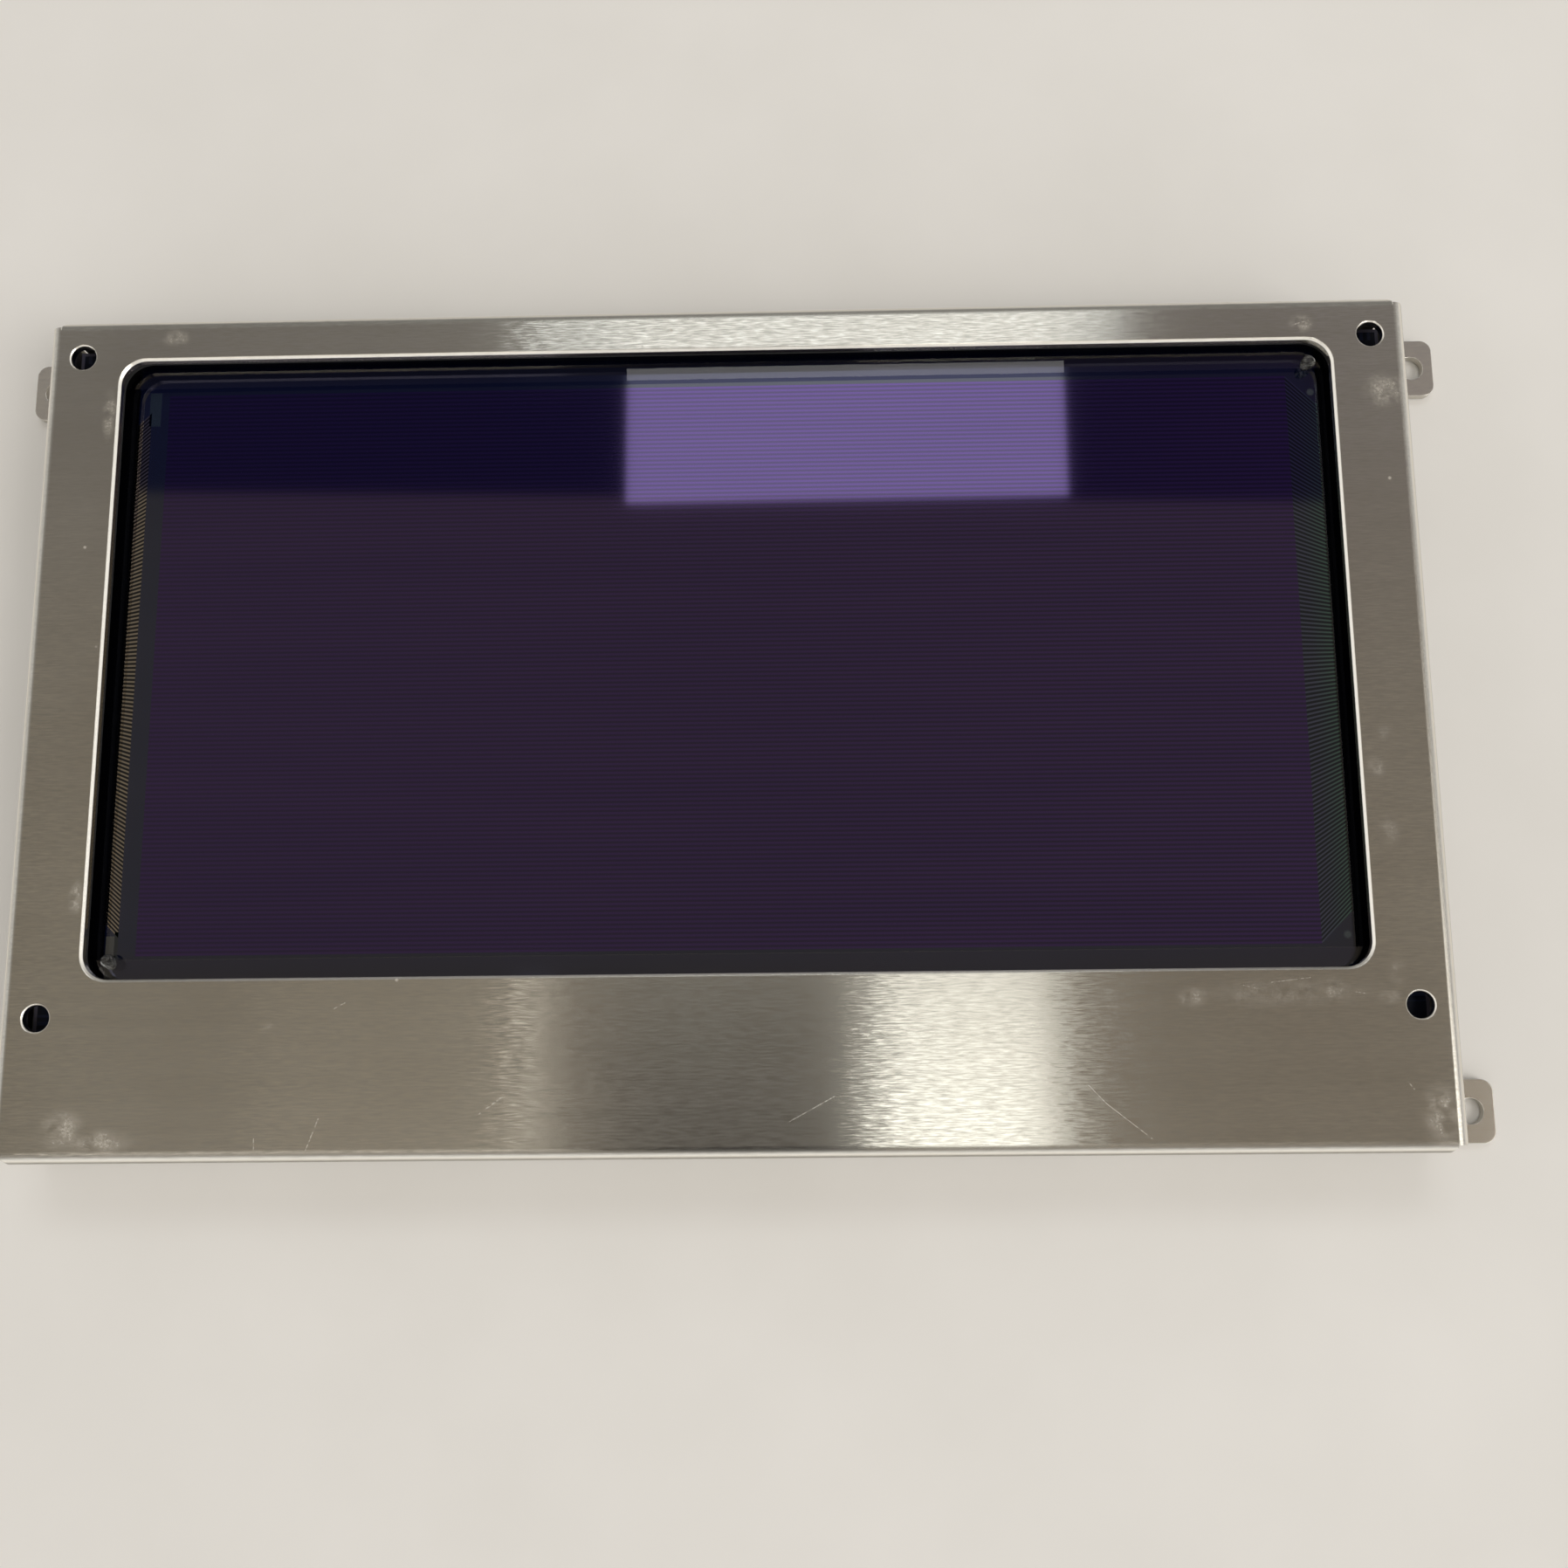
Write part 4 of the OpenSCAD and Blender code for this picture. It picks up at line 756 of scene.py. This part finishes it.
def amber_tape():
    """Amber film tape wound round and round: each turn's edge shows as a fine line."""
    material, put, shader, mm = start_finish("amber_film_tape")
    at = put("SeparateXYZ", {0: mm})
    turn = put("Math", {0: at.outputs["Y"], 1: 1 / TAPE_STEP}, operation="MULTIPLY")
    turn = put("Math", {0: turn}, operation="FRACT")
    edge = put("MapRange", {"Value": turn, "From Min": 0.0, "From Max": 0.12, "To Min": 1.0, "To Max": 0.0})
    wrinkle = put("TexNoise", {"Vector": mm, "Scale": 1 / 2.0, "Detail": 2.0})
    amber = put("Mix", {0: wrinkle, 6: colour("#a06c14"), 7: colour("#cf9a35")}, data_type="RGBA")
    skin = put("Mix", {0: edge, 6: amber, 7: colour("#6e480c")}, data_type="RGBA")
    relief = put("Math", {0: turn, 1: wrinkle}, operation="ADD")
    bump = put("Bump", {"Height": relief, "Strength": 0.35, "Distance": 0.0001})
    fill(shader, {"Base Color": skin, "Roughness": 0.25, "Normal": bump})
    return material


dress(amber_tape(), "transformer_winding")

# %% The choke's wire
WIRE = 0.5  # thickness in millimetres
TURN_STEP = 1.02  # climb of one turn, in thicknesses


def enamelled_copper():
    """Copper under clear brown enamel: orange-brown metal with a glossy coat and slight colour drift."""
    material, put, shader, mm = start_finish("enamelled_copper_wire")
    drift = put("TexNoise", {"Vector": mm, "Scale": 1 / 1.5, "Detail": 2.0})
    skin = put("Mix", {0: drift, 6: colour("#8a3f16"), 7: colour("#b9652c")}, data_type="RGBA")
    fill(shader, {"Base Color": skin, "Metallic": 0.85, "Roughness": 0.3, "Coat Weight": 0.6,
                  "Coat Roughness": 0.1})
    return material


def wire_rings(box, wire, around=10, per_turn=40):
    """A helix that climbs a little more than one wire's thickness a turn; each ring is a circle across the
    wire, drawn in the plane of the outward direction and of its cross product with the path's own."""
    low, high = box
    middle, reach = (low + high)[:2] / 2, (high - low)[0] / 2 - wire / 2
    climb = high[2] - low[2] - wire
    turns = climb / (wire * TURN_STEP)
    angle = np.linspace(0, 2 * np.pi * turns, int(per_turn * turns))
    outward = np.column_stack([np.cos(angle), np.sin(angle), np.zeros_like(angle)])
    path = np.column_stack([middle[0] + reach * outward[:, 0], middle[1] + reach * outward[:, 1],
                            low[2] + wire / 2 + climb * angle / angle[-1]])
    ahead = np.gradient(path, axis=0)
    ahead /= np.linalg.norm(ahead, axis=1, keepdims=True)
    upward = np.cross(ahead, outward)
    turn = np.linspace(0, 2 * np.pi, around, endpoint=False)[None, :, None]
    circle = outward[:, None] * np.cos(turn) + upward[:, None] * np.sin(turn)
    return path[:, None] + wire / 2 * circle


coil = ringed_skin("choke_wire", wire_rings(node_box("choke_winding"), WIRE), enamelled_copper(),
                   "enamelled_copper", "choke_winding")
coil.data.shade_smooth()

# %% [markdown]
# ## Floor and soft panels
# The floor is pale paper. Lamps could be spots or the sun, but polished glass and brushed steel mirror what
# lights them, and soft rectangles give calm reflections. One lies across the top of the glass, and one beyond
# it lights the top of the bezel. Strips and bars above the front draw the bright bands on the lower bezel, and
# a large soft light from the right gives the shadows.

# %% Floor
FLOOR_HALF, FLOOR_DROP = 4.0, 0.0002  # half its width, and how far it lies below the ears, in metres


def studio_floor():
    """Pale matt paper with very faint mottling."""
    material, put, shader, mm = start_finish("pale_paper")
    mottle = put("TexNoise", {"Vector": mm, "Scale": 1 / 30.0, "Detail": 3.0})
    pale = put("Mix", {0: mottle, 6: colour("#e4e2de"), 7: colour("#edebe8")}, data_type="RGBA")
    fill(shader, {"Base Color": pale, "Roughness": 0.9})
    return material


corners = np.array([[-1, -1, 0], [1, -1, 0], [1, 1, 0], [-1, 1, 0]]) * FLOOR_HALF - (0, 0, FLOOR_DROP)
sheet = bpy.data.meshes.new("floor")
sheet.from_pydata(corners.tolist(), [], [[0, 1, 2, 3]])
sheet.materials.append(studio_floor())
floor = bpy.data.objects.new("floor", sheet)
bpy.context.scene.collection.objects.link(floor)
print("floor of", 2 * FLOOR_HALF, "m")

# %% Soft panels
def soft_panel(name, place, size, radiance, tint, aim=None):
    """A rectangular light of a given brightness, aimed straight down unless a point is given: its power is
    brightness times pi times its area."""
    lamp = bpy.data.lights.new(name, "AREA")
    lamp.shape = "RECTANGLE"
    lamp.size, lamp.size_y = size
    lamp.energy = radiance * np.pi * size[0] * size[1]
    lamp.color = colour(tint)[:3]
    light = bpy.data.objects.new(name, lamp)
    light.location = place
    way = Vector(aim or (place[0], place[1], 0.0)) - light.location
    light.rotation_euler = way.to_track_quat("-Z", "Y").to_euler()
    bpy.context.scene.collection.objects.link(light)
    print(f"{name}: {lamp.energy:.1f} W over {size[0]} by {size[1]} m")


soft_panel("mirrored_panel", (0.05, 0.883, 2.0), (0.69, 0.222), 2.1, "#fffdfa")
soft_panel("panel_beyond", (0.02, 1.28, 2.0), (0.97, 0.54), 3.0, "#f8feff")
soft_panel("overhead_strip", (0.213, -0.355, 2.0), (0.27, 0.73), 3.45, "#fdfffb")
soft_panel("front_strip", (-0.83, -0.98, 2.0), (0.86, 0.5), 1.25, "#fffaf4")
soft_panel("left_strip", (-0.62, -0.42, 2.0), (0.44, 0.7), 0.17, "#fff4e0")
soft_panel("left_bar", (-0.425, -0.16, 2.0), (0.05, 0.38), 5.0, "#fffbf2")
soft_panel("front_bar", (0.63, -0.87, 2.0), (0.5, 0.12), 1.5, "#fffaf0")
soft_panel("large_soft_light", (1.9, -0.9, 1.9), (1.4, 1.4), 4.4, "#fffcf8", aim=(0.0, 0.0, 0.0))

# %% [markdown]
# ## The room that metal and glass mirror
# A panoramic image could surround the scene, but here a plain room is painted by direction: where a ray goes
# up, how far it leans toward the back or to a side picks a part of the ceiling. That is warm grey near the
# camera and dark beyond a slightly slanted edge, with a dark bay over the front. The walls in front and on
# both sides are bright, and the rounded edge of the window mirrors them as its pale outline. The back wall is
# dimmer.

# %% Room
BRIGHT_WALL = colour("#fffdfa")

world = bpy.data.worlds.new("studio_room")
world.use_nodes = True
bpy.context.scene.world = world
put = partial(add_node, world.node_tree)
look = put("SeparateXYZ", {0: put("TexCoord").outputs["Generated"]})
overhead = put("MapRange", {"Value": look.outputs["Z"], "From Min": 0.45, "From Max": 0.8},
               interpolation_type="SMOOTHSTEP")
up = put("Math", {0: look.outputs["Z"], 1: 0.05}, operation="MAXIMUM")
lean = put("Math", {0: look.outputs["Y"], 1: up}, operation="DIVIDE")
aside = put("Math", {0: look.outputs["X"], 1: up}, operation="DIVIDE")

edge_of_room = put("Math", {0: aside, 1: 0.026, 2: lean}, operation="MULTIPLY_ADD")
beyond = put("MapRange", {"Value": edge_of_room, "From Min": 0.368, "From Max": 0.374})
to_right = put("MapRange", {"Value": aside, "From Min": -0.05, "From Max": 0.35})
near_part = put("Mix", {0: to_right, 6: colour("#9f9586"), 7: colour("#a3988a")}, data_type="RGBA")
beside = put("Math", {0: aside, 1: 0.065}, operation="ADD")
beside = put("Math", {0: beside}, operation="ABSOLUTE")
beside = put("MapRange", {"Value": beside, "From Min": 0.41, "From Max": 0.435})
behind = put("MapRange", {"Value": lean, "From Min": 0.0, "From Max": 0.1})
beside = put("Math", {0: beside, 1: behind}, operation="MULTIPLY")
near_part = put("Mix", {0: beside, 6: near_part, 7: colour("#afa697")}, data_type="RGBA")
far_part = put("Mix", {0: to_right, 6: colour("#4b4a61"), 7: colour("#65596f")}, data_type="RGBA")
ceiling = put("Mix", {0: beyond, 6: near_part, 7: far_part}, data_type="RGBA")

step = put("MapRange", {"Value": aside, "From Min": -0.192, "From Max": -0.182, "To Max": 0.5})
second_step = put("MapRange", {"Value": aside, "From Min": -0.155, "From Max": -0.125, "To Max": 0.5})
step_back = put("MapRange", {"Value": aside, "From Min": 0.02, "From Max": 0.03, "To Min": 1.0, "To Max": 0.0})
in_front = put("MapRange", {"Value": lean, "From Min": 0.0, "From Max": 0.03, "To Min": 1.0, "To Max": 0.0})
bay = put("Math", {0: step, 1: second_step}, operation="ADD")
for limit in (step_back, in_front):
    bay = put("Math", {0: bay, 1: limit}, operation="MULTIPLY")
ceiling = put("Mix", {0: bay, 6: ceiling, 7: colour("#4b4845")}, data_type="RGBA")
back_wall = put("MapRange", {"Value": lean, "From Min": 0.475, "From Max": 0.54},
                interpolation_type="SMOOTHSTEP")
ceiling = put("Mix", {0: back_wall, 6: ceiling, 7: colour("#b3b0ac")}, data_type="RGBA")

front_wall = put("MapRange", {"Value": look.outputs["Y"], "From Min": -0.25, "From Max": -0.75})
walls = put("Mix", {0: front_wall, 6: colour("#aaa9a7"), 7: BRIGHT_WALL}, data_type="RGBA")
sideways = put("Math", {0: look.outputs["X"]}, operation="ABSOLUTE")
sideways = put("MapRange", {"Value": sideways, "From Min": 0.45, "From Max": 0.9})
walls = put("Mix", {0: sideways, 6: walls, 7: BRIGHT_WALL}, data_type="RGBA")
room = put("Mix", {0: overhead, 6: walls, 7: ceiling}, data_type="RGBA")
fill(world.node_tree.nodes["Background"], {"Color": room, "Strength": 1.0})
print(f"{world.name}: {len(world.node_tree.nodes)} nodes")

# %% [markdown]
# ## Camera
# The place, turn and focal length come from fitting the bezel's outline, window, holes and ears to the edges
# in the photograph, with the module's sizes held fixed.

# %% Camera
lens = bpy.data.cameras.new("camera")
lens.sensor_width, lens.lens = 36.0, 34.381
lens.shift_x, lens.shift_y = -0.0105, 0.0021
lens.clip_start = 0.01
camera = bpy.data.objects.new("camera", lens)
camera.location = (0.017459, -0.052122, 0.257656)
camera.rotation_euler = (0.16441, 0.02126, -0.00972)
bpy.context.scene.collection.objects.link(camera)
bpy.context.scene.camera = camera
bpy.context.scene.view_settings.view_transform = "Standard"
print("camera", np.round(camera.location, 3), "lens", lens.lens, "mm")
